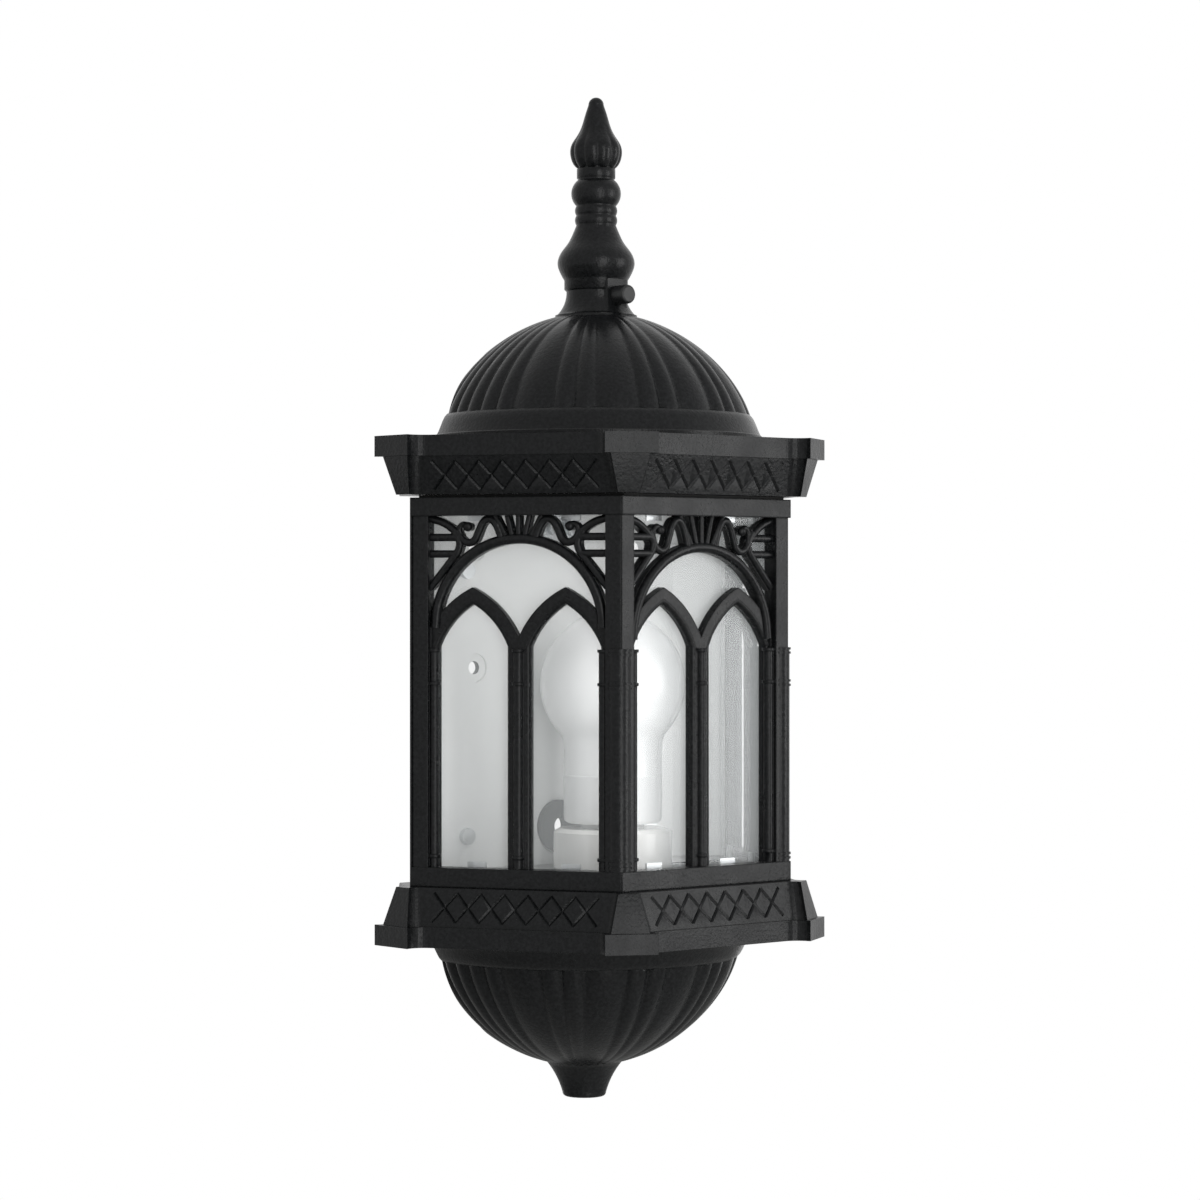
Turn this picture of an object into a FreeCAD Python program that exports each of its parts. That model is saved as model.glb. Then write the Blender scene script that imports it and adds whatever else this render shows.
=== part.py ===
"""Flat-backed half-hexagon wall lantern in cast aluminium, with a lift-off fluted roof.

Millimetres. The origin is the centre of the wall bolts on the wall plane, +Z is up and the
lantern stands out from the wall towards -Y.
"""
import FreeCAD
import Part
import math
import os
import re

Vector = FreeCAD.Vector

# Driving dimensions, as text for the sheet's cells
SIZES = {
    # Plan of the body
    "front_reach": "96",
    "front_width": "92",
    "side_width": "89.5",
    "panel_turn": "60",
    "panel_depth": "8",
    "core_reach": "19.4",
    "back_half_width": "66",
    "housing_wall": "2.5",
    "wall_gap": "0.5",
    # Heights of the body
    "body_top": "43.9",
    "body_bottom": "-111.7",
    "top_band": "7.4",
    "bottom_rail": "7.8",
    "band_proud": "1",
    "seam": "0.1",
    # Tracery panels
    "post_width": "7.3",
    "tracery_recess": "4",
    "side_arch_top": "29.3",
    "front_arch_top": "26",
    "arch_bar": "4",
    "lancet_bar": "6",
    "lancet_step": "1.6",
    "step_depth": "1.4",
    "lancet_spring": "-15.6",
    "lancet_rise": "16.8",
    "lancet_bulge": "1.85",
    "mullion_width": "10",
    "jamb_width": "3.2",
    "scroll_bar": "2.6",
    "fan_bar": "2",
    "fan_spread": "28",
    "prong_drop": "8.6",
    "prong_spacing": "6.6",
    "tail_drop": "28.5",
    "scroll_ball": "1.7",
    "column_radius": "2",
    "column_ring": "0.6",
    "column_ring_height": "1.2",
    "column_gap": "1",
    "column_ring_high": "-31",
    "column_ring_low": "-100",
    # Glazing
    "glass_gauge": "2",
    "glass_lap": "3",
    "glass_gap": "0.3",
    "clip_width": "8",
    "clip_gauge": "1",
    "clip_tongue": "5",
    "clip_inset": "20",
    "clip_foot": "3.2",
    # Cornices
    "roof_seat": "45",
    "frieze_height": "15.2",
    "cornice_band": "8.3",
    "band_apothem": "86",
    "band_ear_reach": "101.1",
    "band_ear_width": "21.4",
    "frieze_top_apothem": "84.5",
    "frieze_top_ear_reach": "99",
    "frieze_top_ear_width": "15.8",
    "frieze_foot_apothem": "80.5",
    "frieze_foot_ear_reach": "95.2",
    "frieze_foot_ear_width": "8.5",
    "cornice_bore": "68",
    "lower_bore": "58",
    "cornice_flange": "3",
    "cornice_back": "3",
    "lattice_pitch": "9.9",
    "lattice_height": "11.6",
    "lattice_line": "1.5",
    "lattice_depth": "0.7",
    # Roof
    "roof_reach": "27.5",
    "dome_radius": "65.6",
    "dome_rise": "49.3",
    "dome_power": "1.65",
    "dome_crown": "2",
    "hollow_share": "0.84",
    "dome_wall": "4",
    "roof_band": "10.8",
    "roof_band_radius": "68.8",
    "band_lip": "2",
    "band_cove": "1.2",
    "cast_lap": "0.2",
    "roof_rim_bore": "54",
    "lobe_depth": "1.9",
    "neck_foot": "120.2",
    "neck_top": "131",
    "neck_foot_radius": "16.4",
    "neck_waist_radius": "13.1",
    "neck_top_radius": "12.3",
    "neck_lip": "0.6",
    "neck_lip_height": "1.4",
    "lug_width": "10.4",
    "lug_reach": "13.3",
    "lug_bottom": "123.2",
    "lug_top": "135.3",
    "screw_height": "128.6",
    "screw_radius": "1.6",
    "screw_head_radius": "3.9",
    "screw_head_length": "7.4",
    "screw_edge": "1.2",
    "screw_clearance": "0.05",
    # Finial
    "collar_radius": "13.2",
    "collar_height": "4.5",
    "collar_edge": "0.7",
    "vase_radius": "16",
    "vase_height": "27.4",
    "ring_radius": "8.8",
    "ring_height": "4",
    "ring_groove": "0.6",
    "ball_radius": "10.3",
    "ball_height": "10.9",
    "bud_collar_radius": "8",
    "bud_collar_height": "5",
    "bud_radius": "10.8",
    "bud_height": "29.4",
    "bud_tip_radius": "3.2",
    "bud_lobe": "0.9",
    # Bowl
    "bowl_reach": "20",
    "bowl_radius": "65",
    "bowl_drop": "52.7",
    "bowl_power": "1.65",
    "bowl_band": "9.6",
    "spout_top": "-188.8",
    "spout_bottom": "-203.6",
    "spout_top_radius": "16.6",
    "spout_waist_radius": "11.4",
    "spout_end_radius": "9.1",
    "spout_edge": "1.6",
    # Roof post and its strip
    "post_radius": "4",
    "post_top": "130.6",
    "post_clearance": "0.3",
    "strip_width": "20",
    "strip_gauge": "3",
    "strip_drop": "13",
    "gasket_inset": "1.5",
    "gasket_width": "5",
    # Inside of the lamp chamber
    "liner_gauge": "1",
    "liner_play": "0.2",
    "liner_rim": "1",
    "liner_gap": "1.4",
    "liner_screw_inset": "16",
    "liner_screw_low": "17.5",
    "liner_screw_high": "12",
    "floor_apothem": "62.5",
    "floor_gauge": "1.5",
    "lamp_reach": "38",
    "lamp_bracket_width": "58",
    "lamp_bracket_length": "30",
    "lamp_bracket_gauge": "1.5",
    "lamp_tab_height": "12",
    "lamp_tab_width": "5",
    "lamp_screw_inset": "3",
    "lamp_screw_ahead": "12",
    "lamp_screw_length": "6",
    "lamp_screw_head_radius": "2.8",
    "holder_radius": "24.5",
    "holder_top": "-91",
    "holder_stem_radius": "12",
    "holder_stem": "19",
    "socket_play": "0.3",
    "holder_socket_depth": "15",
    "holder_rim": "2.5",
    "holder_edge": "1.5",
    "bulb_radius": "30",
    "bulb_height": "-31.5",
    "bulb_collar_radius": "20.3",
    "bulb_collar_height": "17",
    "bulb_collar_gap": "2",
    "bulb_collar_taper": "2.2",
    "bulb_neck_turn": "54",
    "bulb_cap_radius": "13",
    "bulb_cap_length": "14.5",
    # Wall fixing and fasteners
    "bolt_spacing_x": "90",
    "bolt_spacing_z": "50",
    "bolt_hole_radius": "2.75",
    "bolt_access_radius": "6",
    "cable_height": "-92",
    "cable_hole_radius": "8",
    "cable_bore_radius": "4",
    "grommet_flange_radius": "11",
    "grommet_flange": "3",
    "fastener_radius": "2",
    "fastener_head_radius": "3.4",
    "fastener_head": "2.2",
    "fastener_play": "0.2",
    "rim_screw_circle": "60",
    "rim_screw_turn": "62",
    "rim_screw_reach": "6",
    "rim_screw_access": "0.4",
    "terminal_width": "34",
    "terminal_depth": "16",
    "terminal_height": "14",
    "terminal_gap": "3",
}

# Lobes of the roof and the bowl from the front to the back, in units of one narrow lobe
LOBES_FROM_FRONT = [1, 1, 2, 1, 1, 2] + [1] * 13
LOBE_UNITS = 44
ROOF_SECTIONS = 7

# Bud of the finial: shares of its height, of its widest radius and of its lobes' depth
BUD_LOBES = 10
BUD_RUN = [(0, 0.74, 1), (0.11, 0.945, 1), (0.22, 1, 1), (0.31, 0.965, 0.9), (0.394, 0.845, 0.6),
           (0.534, 0.615, 0.25), (0.677, 0.48, 0), (0.816, 0.365, 0)]
# Vase of the finial: shares of its height and of its belly's width beyond its top
VASE_RUN = [(0.15, 0.88), (0.3, 1), (0.52, 0.78), (0.67, 0.45), (0.82, 0.22)]

# Scrollwork over the arch: shares of the half opening, and of the drop from the rail
FAN_ROOT = 0.13
VALLEY = 0.55
VALLEY_LIFT = 0.85
WAVE_RUN = [(1, 0.09), (0.84, 0.27), (0.7, 0.6), (0.6, 0.93), (0.52, 0.93), (0.45, 0.56), (0.405, 0.26),
            (0.36, 0.13), (0.31, 0.13), (0.265, 0.26), (0.22, 0.56), (0.19, 0.84)]
HOOK_RUN = [(0.575, 0.39), (0.62, 0.3), (0.67, 0.44), (0.66, 0.68)]
BRACKET_RUN = [(0.73, 0.215), (0.67, 0.348), (0.68, 0.475), (0.77, 0.636), (0.88, 0.813), (1, 1)]
PRONG_ENDS = (0.69, 0.7)
RIBBON_STEPS = 2
LATTICE_CROSSES = 7

# Share of a quarter round's radius at which its middle lies inside the sharp corner
ROUND_INSET = 1 - math.sqrt(0.5)

doc = FreeCAD.newDocument("wall_light")
sheet = doc.addObject("Spreadsheet::Sheet", "dims")
for row, (alias, text) in enumerate(SIZES.items(), start=1):
    sheet.set("A%d" % row, alias)
    sheet.set("B%d" % row, text)
    sheet.setAlias("B%d" % row, alias)
doc.recompute()

nodes = []


def size(alias):
    """Return a driving dimension from the sheet."""
    return float(sheet.get(alias))


def cells(text):
    """Return a sheet expression in which each alias of text is a cell of the sheet."""
    return re.sub(r"[a-z_]+", lambda word: "dims." + word.group(0)
                  if word.group(0) in SIZES else word.group(0), text)


def place(obj, corner):
    """Bind an object's position to three sheet expressions."""
    for axis, text in zip("xyz", corner):
        obj.setExpression("Placement.Base." + axis, cells(text))


def box(name, extent, corner):
    """Add a box whose size and corner are sheet expressions."""
    obj = doc.addObject("Part::Box", name)
    for side, text in zip(("Length", "Width", "Height"), extent):
        obj.setExpression(side, cells(text))
    place(obj, corner)
    return obj


def rod(name, radius, length, base, turn=None):
    """Add a cylinder whose radius, length and base are sheet expressions."""
    obj = doc.addObject("Part::Cylinder", name)
    obj.setExpression("Radius", cells(radius))
    obj.setExpression("Height", cells(length))
    if turn is not None:
        obj.Placement = FreeCAD.Placement(Vector(), turn)
    place(obj, base)
    return obj


# Turns a cylinder from +Z to -Y, out of the wall
OUT_OF_WALL = FreeCAD.Rotation(Vector(1, 0, 0), 90)


def fuse(name, shapes):
    """Fuse document objects into one."""
    obj = doc.addObject("Part::MultiFuse", name)
    obj.Shapes = shapes
    return obj


def group(name, shapes):
    """Keep document objects together as separate solids of one node."""
    obj = doc.addObject("Part::Compound", name)
    obj.Links = shapes
    return obj


def cut(name, base, tools):
    """Cut a list of document objects from a base."""
    obj = doc.addObject("Part::Cut", name)
    obj.Base = base
    obj.Tool = tools[0] if len(tools) == 1 else fuse(name + "_tools", tools)
    return obj


def solid(name, shape, placement=None):
    """Add a shape that was worked out from the sheet's sizes."""
    obj = doc.addObject("Part::Feature", name)
    obj.Shape = shape
    if placement is not None:
        obj.Placement = placement
    return obj


def node(label, obj):
    """Register a finished sub-part under its label."""
    obj.Label = label
    nodes.append(obj)
    return obj


def line(first, second):
    """Return a straight edge."""
    return Part.LineSegment(first, second).toShape()


def arc(first, middle, last):
    """Return a round edge through three points."""
    return Part.Arc(first, middle, last).toShape()


def curve(points):
    """Return a smooth edge through the points."""
    spline = Part.BSplineCurve()
    spline.interpolate(points)
    return spline.toShape()


def prism(points, depth):
    """Extrude a closed polygon along a vector."""
    return Part.Face(Part.makePolygon(points + points[:1])).extrude(depth)


def turned(edges, reach):
    """Revolve a profile of edges in the XZ plane about a vertical axis at a reach from the wall."""
    shape = Part.Face(Part.Wire(edges)).revolve(Vector(), Vector(0, 0, 1), 360)
    shape.translate(Vector(0, -reach, 0))
    return shape


def profile(*corners):
    """Return points of a turned profile from (radius, height) pairs."""
    return [Vector(radius, 0, height) for radius, height in corners]


def chain(points):
    """Return the closed outline of straight edges through the points."""
    return [line(points[i - 1], points[i]) for i in range(len(points))]


def behind(reach):
    """Return a block that fills the space behind an upright plane at a reach from the wall."""
    far = 4 * size("front_reach")
    return Part.makeBox(2 * far, far, 2 * far, Vector(-far, -reach, -far))


def in_front_of_wall(shape):
    """Cut away what would stand in the wall."""
    return shape.cut(behind(size("wall_gap")))


def hexagon(apothem, bottom, height):
    """Return a hexagonal prism about the lantern's core, with a face to the front."""
    radius = apothem / math.cos(math.radians(30))
    points = []
    for corner in range(6):
        turn = math.radians(30 + 60 * corner)
        points.append(Vector(radius * math.sin(turn),
                             -size("core_reach") - radius * math.cos(turn), bottom))
    return prism(points, Vector(0, 0, height))


# Body: back housing
corner_x = size("front_width") / 2 + size("side_width") * math.cos(math.radians(size("panel_turn")))
corner_y = size("front_reach") - size("side_width") * math.sin(math.radians(size("panel_turn")))


def housing_outline(inset, floor, bottom, height):
    """Return the tray's prism, its slanted sides drawn in by an inset and its back by a floor."""
    lean = (corner_x - size("back_half_width")) / corner_y
    shift = inset * math.hypot(1, lean)
    rim = corner_x - shift
    back = size("back_half_width") + lean * floor - shift
    points = [Vector(-rim, -corner_y, bottom), Vector(-back, -floor, bottom),
              Vector(back, -floor, bottom), Vector(rim, -corner_y, bottom)]
    return prism(points, Vector(0, 0, height))


def back_housing():
    """Shallow tray against the wall with the bolt holes, the cable hole and the screw holes."""
    bottom = size("body_bottom")
    height = size("body_top") - bottom
    wall = size("housing_wall")
    hollow = housing_outline(wall, wall, bottom + wall, height - 2 * wall)
    tray = solid("housing_tray", housing_outline(0, 0, bottom, height).cut(hollow))
    holes = []
    for across in ("-", ""):
        for up in ("-", ""):
            holes.append(rod("bolt_hole", "bolt_hole_radius", "3 * housing_wall",
                             (across + "bolt_spacing_x / 2", "housing_wall",
                              up + "bolt_spacing_z / 2"), OUT_OF_WALL))
    holes.append(rod("cable_hole", "cable_hole_radius", "3 * housing_wall",
                     ("0", "housing_wall", "cable_height"), OUT_OF_WALL))
    for name, across, up in REFLECTOR_SCREWS + STRIP_SCREWS:
        holes.append(rod("thread_" + name, "fastener_radius + fastener_play", "3 * housing_wall",
                         (across, "housing_wall", up), OUT_OF_WALL))
    return cut("back_housing", tray, holes)


LINER_TOP = "body_top - housing_wall - strip_drop - liner_gap"
REFLECTOR_SCREWS = [
    ("reflector_left_low", "-(back_half_width - liner_screw_inset)", "body_bottom + liner_screw_low"),
    ("reflector_right_low", "back_half_width - liner_screw_inset", "body_bottom + liner_screw_low"),
    ("reflector_left_high", "-(back_half_width - liner_screw_inset)", LINER_TOP + " - liner_screw_high"),
    ("reflector_right_high", "back_half_width - liner_screw_inset", LINER_TOP + " - liner_screw_high"),
]
STRIP_LEVEL = "body_top - housing_wall - strip_drop / 2 - strip_gauge / 2"
STRIP_SCREWS = [
    ("strip_left", "-strip_width / 4", STRIP_LEVEL),
    ("strip_right", "strip_width / 4", STRIP_LEVEL),
]


def liner():
    """Bent white sheet on the tray's back and along its slanted sides."""
    low = size("body_bottom") + size("housing_wall") + size("floor_gauge")
    high = size("body_top") - size("housing_wall") - size("strip_drop") - size("liner_gap")
    wall = size("housing_wall")
    gauge = size("liner_gauge")
    side = wall + size("liner_play")
    bent = housing_outline(side, wall, low, high - low)
    bent = bent.cut(housing_outline(side + gauge, wall + gauge, low, high - low))
    rim = Part.makeBox(2 * corner_x, corner_y, high - low,
                       Vector(-corner_x, size("liner_rim") - 2 * corner_y, low))
    return bent.cut(rim)


def wall_screw(name, across, seat, up):
    """Pan-head screw into the tray's back, with its head on a seat in front of the wall."""
    shank = rod(name + "_shank", "fastener_radius", seat + " - wall_gap",
                (across, "-wall_gap", up), OUT_OF_WALL)
    head = rod(name + "_head", "fastener_head_radius", "fastener_head",
               (across, "-(" + seat + ")", up), OUT_OF_WALL)
    return fuse(name, [shank, head])


# Body: tracery panels
def disc(centre, radius):
    """Return a round flat face in the panel's plane."""
    edge = Part.Circle(Vector(centre[0], 0, centre[1]), Vector(0, -1, 0), radius).toShape()
    return Part.Face(Part.Wire([edge]))


def plate(corners):
    """Return a flat polygon in the panel's plane."""
    points = [Vector(across, 0, up) for across, up in corners]
    return Part.Face(Part.makePolygon(points + points[:1]))


def rectangle(left, right, low, high):
    """Return a flat rectangle in the panel's plane."""
    return plate([(left, low), (right, low), (right, high), (left, high)])


def bar(points, width):
    """Return the flat pieces of a bar along a run of points, rounded at each point."""
    pieces = [disc(point, width / 2) for point in points]
    for (x0, z0), (x1, z1) in zip(points, points[1:]):
        length = math.hypot(x1 - x0, z1 - z0)
        side_x = -(z1 - z0) / length * width / 2
        side_z = (x1 - x0) / length * width / 2
        pieces.append(plate([(x0 + side_x, z0 + side_z), (x1 + side_x, z1 + side_z),
                             (x1 - side_x, z1 - side_z), (x0 - side_x, z0 - side_z)]))
    return pieces


def lancet(centre, half_width, grow):
    """Return the pointed face of a lancet head, grown by a bar's width."""
    spring = size("lancet_spring")
    rise = size("lancet_rise")
    bulge = size("lancet_bulge")
    chord = math.hypot(half_width, rise)
    radius = ((chord / 2) ** 2 + bulge ** 2) / (2 * bulge)
    drop = (radius - bulge) / chord
    focus_x = half_width / 2 - rise * drop
    focus_z = spring + rise / 2 - half_width * drop
    reach = radius + grow
    apex = focus_z + math.sqrt(reach ** 2 - focus_x ** 2)
    foot_z = spring - grow
    foot_x = focus_x + math.sqrt(reach ** 2 - (foot_z - focus_z) ** 2)
    turn = (math.atan2(apex - focus_z, -focus_x) + math.atan2(foot_z - focus_z, foot_x - focus_x)) / 2
    middle_x = focus_x + reach * math.cos(turn)
    middle_z = focus_z + reach * math.sin(turn)
    top = Vector(centre, 0, apex)
    right = Vector(centre + foot_x, 0, foot_z)
    left = Vector(centre - foot_x, 0, foot_z)
    edges = [arc(right, Vector(centre + middle_x, 0, middle_z), top),
             arc(top, Vector(centre - middle_x, 0, middle_z), left), line(left, right)]
    return Part.Face(Part.Wire(edges))


def ribbon(points, width):
    """Return the flat pieces of a bar of even width along a smooth run, with round ends."""
    run = Part.BSplineCurve()
    run.interpolate([Vector(across, 0, up) for across, up in points])
    steps = RIBBON_STEPS * len(points)
    left = []
    right = []
    for step in range(steps + 1):
        at = run.FirstParameter + (run.LastParameter - run.FirstParameter) * step / steps
        middle = run.value(at)
        tangent = run.tangent(at)[0]
        side = Vector(-tangent.z, 0, tangent.x) * (width / 2)
        left.append(middle + side)
        right.insert(0, middle - side)
    outline = [curve(left), line(left[-1], right[0]), curve(right), line(right[-1], left[0])]
    return [Part.Face(Part.Wire(outline)), disc(points[0], width / 2), disc(points[-1], width / 2)]


def spandrel(half, arch_radius, arch_centre, rail):
    """Return the flat pieces of the fan, the waves, the hooks and the post brackets over the arch."""
    scroll = size("scroll_bar")
    fan = size("fan_bar")
    root_z = arch_centre + arch_radius - size("arch_bar") / 2
    rise = rail + fan / 2 - root_z
    pieces = []
    for rib in (-1, -0.5, 0, 0.5, 1):
        lean = rise * math.tan(math.radians(size("fan_spread") * rib))
        root_x = FAN_ROOT * half * rib
        pieces += bar([(root_x, root_z), (root_x + lean, root_z + rise)], fan)
    valley = arch_centre + math.sqrt(arch_radius ** 2 - (VALLEY * half) ** 2) + VALLEY_LIFT * scroll
    fall = rail - valley
    prongs = (rail - size("prong_drop"), rail - size("prong_drop") - size("prong_spacing"))
    for hand in (-half, half):
        wave = [(hand * across, rail - down * fall) for across, down in WAVE_RUN]
        hook = [(hand * across, rail - down * fall) for across, down in HOOK_RUN]
        bracket = [(hand * across, rail - down * size("tail_drop")) for across, down in BRACKET_RUN]
        pieces += ribbon(wave, scroll) + ribbon(hook, fan) + ribbon(bracket, scroll)
        for end, level in zip(PRONG_ENDS, prongs):
            pieces += bar([(hand, level), (hand * end, level)], scroll)
        pieces.append(disc(hook[0], size("scroll_ball")))
    return pieces


def column(across, low, high, depth):
    """Return a half-sunk round shaft with its rings, in the panel's own frame."""
    radius = size("column_radius")
    ring_radius = radius + size("column_ring")
    ring_height = size("column_ring_height")
    shape = Part.makeCylinder(radius, high - low, Vector(across, depth, low))
    for ring in (size("column_ring_high"), size("column_ring_low"), high - ring_height):
        shape = shape.fuse(Part.makeCylinder(ring_radius, ring_height, Vector(across, depth, ring)))
    return shape


def tracery_panel(width, arch_top):
    """Cast panel in its own frame: outer face on Y = 0, inner face at its depth, mitred ends."""
    depth = size("panel_depth")
    mitre = math.tan(math.radians(size("panel_turn") / 2))
    low = size("body_bottom")
    high = size("body_top")
    rail = high - size("top_band")
    sill = low + size("bottom_rail")
    outer = width / 2 - size("seam") / 2
    inner = outer - depth * mitre
    frame = prism([Vector(-outer, 0, low), Vector(outer, 0, low), Vector(inner, depth, low),
                   Vector(-inner, depth, low)], Vector(0, 0, high - low))
    half = width / 2 - size("post_width")
    frame = frame.cut(Part.makeBox(2 * half, depth, rail - sill, Vector(-half, 0, sill)))
    proud = size("band_proud")
    frame = frame.cut(Part.makeBox(width, proud, rail - sill, Vector(-width / 2, 0, sill)))

    lap = size("scroll_bar")
    arch_centre = arch_top - half
    opening = rectangle(-half - lap / 2, half + lap / 2, sill - lap / 2, rail + lap / 2)
    ring = disc((0, arch_centre), half).cut(disc((0, arch_centre), half - size("arch_bar")))
    ring = ring.common(rectangle(-half, half, arch_centre, rail))
    spring = size("lancet_spring")
    jamb = size("jamb_width")
    mullion = size("mullion_width")
    lancet_half = (half - jamb - mullion / 2) / 2
    step = size("lancet_step")
    pieces = [ring]
    heads = []
    wide_heads = []
    for hand in (-1, 1):
        centre = hand * (mullion / 2 + lancet_half)
        heads.append(lancet(centre, lancet_half, 0))
        heads.append(rectangle(centre - lancet_half, centre + lancet_half, sill, spring))
        wide_heads.append(lancet(centre, lancet_half, step))
        wide_heads.append(rectangle(centre - lancet_half - step, centre + lancet_half + step, sill, spring))
        pieces.append(lancet(centre, lancet_half, size("lancet_bar")))
        edge = hand * (half + lap / 2)
        pieces.append(rectangle(min(edge, hand * (half - jamb)), max(edge, hand * (half - jamb)),
                                sill - lap / 2, max(spring, arch_centre)))
    pieces.append(rectangle(-mullion / 2, mullion / 2, sill - lap / 2, spring + lap))
    pieces += spandrel(half, half, arch_centre, rail)
    flat = pieces[0].multiFuse(pieces[1:]).common(opening)
    face_depth = size("tracery_recess")
    bars = []
    for cuts, front in ((heads, face_depth + size("step_depth")), (wide_heads, face_depth)):
        layer = flat.cut(cuts[0].multiFuse(cuts[1:]))
        layer.translate(Vector(0, front, 0))
        bars += layer.extrude(Vector(0, depth - front, 0)).Solids
    shape = frame.multiFuse(bars)
    head_room = spring - size("column_gap")
    for across in (-half + jamb / 2, 0, half - jamb / 2):
        shape = shape.fuse(column(across, sill - size("seam"), head_room, face_depth))
    return shape.removeSplitter()


PANELS = {}
side_turn = size("panel_turn")
side_x = (size("front_width") / 2 + corner_x) / 2
side_y = -(size("front_reach") + corner_y) / 2
PANELS["front"] = ("front_width",
                   FreeCAD.Placement(Vector(0, -size("front_reach"), 0), FreeCAD.Rotation()))
for side_name, hand in (("left", -1), ("right", 1)):
    PANELS[side_name] = ("side_width", FreeCAD.Placement(
        Vector(hand * side_x, side_y, 0), FreeCAD.Rotation(Vector(0, 0, 1), hand * side_turn)))


def glass_half(width):
    """Return half the width of a pane that clears its neighbour at the mitre."""
    mitre = math.tan(math.radians(size("panel_turn") / 2))
    return width / 2 - (size("panel_depth") + size("glass_gauge")) * mitre - size("glass_gap")


def pane(name, width, placement):
    """Flat clear pane against the panel's inner face."""
    half = glass_half(width)
    low = size("body_bottom") + size("bottom_rail") - size("glass_lap")
    high = size("body_top") - size("top_band") + size("glass_lap")
    shape = Part.makeBox(2 * half, size("glass_gauge"), high - low,
                         Vector(-half, size("panel_depth"), low))
    return solid(name, shape, placement)


def glass_clip(across, seat, toe, placement):
    """Stepped clip: its foot on the panel's rail, its tongue over the edge of the pane."""
    depth = size("panel_depth")
    glass = depth + size("glass_gauge")
    front = glass + size("clip_gauge")
    reach = -size("clip_tongue") if toe < 0 else size("clip_tongue")
    edge = size("glass_gap") * (1 if toe < 0 else -1)
    left = across - size("clip_width") / 2
    heel = seat - size("clip_foot") * (1 if toe > 0 else -1)
    points = [(depth, seat + edge), (depth, heel), (front, heel), (front, seat + reach),
              (glass, seat + reach), (glass, seat + edge)]
    shape = prism([Vector(left, y, z) for y, z in points], Vector(size("clip_width"), 0, 0))
    return solid("clip", shape, placement)


# Cornices
def cornice_wire(apothem, ear_reach, ear_width, height):
    """Hexagonal outline with a chamfered ear at each corner and a cove on each side of it."""
    core = Vector(0, -size("core_reach"), height)
    edges = []
    for corner in range(6):
        ear_turn = math.radians(30 + 60 * corner)
        face_turn = math.radians(60 + 60 * corner)
        next_turn = math.radians(90 + 60 * corner)
        out = Vector(math.sin(ear_turn), -math.cos(ear_turn), 0)
        along = Vector(math.cos(ear_turn), math.sin(ear_turn), 0)
        ear_start = core + out * ear_reach - along * (ear_width / 2)
        ear_end = core + out * ear_reach + along * (ear_width / 2)
        normal = Vector(math.sin(face_turn), -math.cos(face_turn), 0)
        run = Vector(math.cos(face_turn), math.sin(face_turn), 0)
        step = (ear_end - core).dot(normal) - apothem
        next_out = Vector(math.sin(next_turn), -math.cos(next_turn), 0)
        next_along = Vector(math.cos(next_turn), math.sin(next_turn), 0)
        next_start = core + next_out * ear_reach - next_along * (ear_width / 2)
        lean = math.sqrt(0.5) * step
        edges.append(line(ear_start, ear_end))
        edges.append(arc(ear_end, ear_end + run * (step - lean) - normal * lean,
                         ear_end + run * step - normal * step))
        edges.append(line(ear_end + run * step - normal * step,
                          next_start - run * step - normal * step))
        edges.append(arc(next_start - run * step - normal * step,
                         next_start - run * (step - lean) - normal * lean, next_start))
    return Part.Wire(edges)


def lattice_grooves(seat, upward):
    """Return the crossed V grooves of the lattice on the three outward faces of a frieze."""
    foot = size("frieze_foot_apothem")
    top = size("frieze_top_apothem")
    height = size("frieze_height")
    depth = size("lattice_depth")
    half_line = size("lattice_line") / 2
    middle = Vector(0, -size("core_reach"), seat + upward * height / 2)
    grooves = []
    for turn in (-math.radians(60), 0, math.radians(60)):
        outward = Vector(math.sin(turn), -math.cos(turn), 0)
        along = Vector(math.cos(turn), math.sin(turn), 0)
        slope = (outward * (top - foot) + Vector(0, 0, upward * height)).normalize()
        normal = (outward * height - Vector(0, 0, upward * (top - foot))).normalize()
        centre = middle + outward * ((foot + top) / 2)
        for cross in range(LATTICE_CROSSES):
            place_along = (cross - (LATTICE_CROSSES - 1) / 2) * size("lattice_pitch")
            for hand in (-1, 1):
                run = along * (hand * size("lattice_pitch")) + slope * size("lattice_height")
                start = centre + along * place_along - run * 0.5
                # The V stands as far above the face as it goes in, so its top is twice as wide
                side = normal.cross(run).normalize() * (2 * half_line)
                crest = normal * depth
                grooves.append(prism([start + side + crest, start - side + crest, start - crest], run))
    return grooves


def cornice(seat, upward, bore):
    """Return a cornice: a flaring frieze from its seat to the band, hollow, with a flange."""
    shoulder = seat + upward * size("frieze_height")
    far = shoulder + upward * size("cornice_band")
    foot = cornice_wire(size("frieze_foot_apothem"), size("frieze_foot_ear_reach"),
                        size("frieze_foot_ear_width"), seat)
    top = cornice_wire(size("frieze_top_apothem"), size("frieze_top_ear_reach"),
                       size("frieze_top_ear_width"), shoulder)
    band = cornice_wire(size("band_apothem"), size("band_ear_reach"), size("band_ear_width"), shoulder)
    frieze = Part.makeLoft([foot, top], True, True)
    frieze = frieze.cut(lattice_grooves(seat, upward))
    band = Part.Face(band).extrude(Vector(0, 0, upward * size("cornice_band")))
    shape = frieze.fuse(band)
    hollow_height = size("frieze_height") + size("cornice_band") - size("cornice_flange")
    hollow = hexagon(bore, min(seat, seat + upward * hollow_height), hollow_height)
    back_wall = behind(size("cornice_back") + size("wall_gap"))
    shape = in_front_of_wall(shape.cut(hollow.cut(back_wall)))
    return shape, far, back_wall


def rim_spots(reach):
    """Return the places of the screws that join a cornice to the roof or the bowl."""
    spots = []
    for turn in (-size("rim_screw_turn"), 0, size("rim_screw_turn")):
        angle = math.radians(turn)
        spots.append((size("rim_screw_circle") * math.sin(angle),
                      -reach - size("rim_screw_circle") * math.cos(angle)))
    return spots


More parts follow.
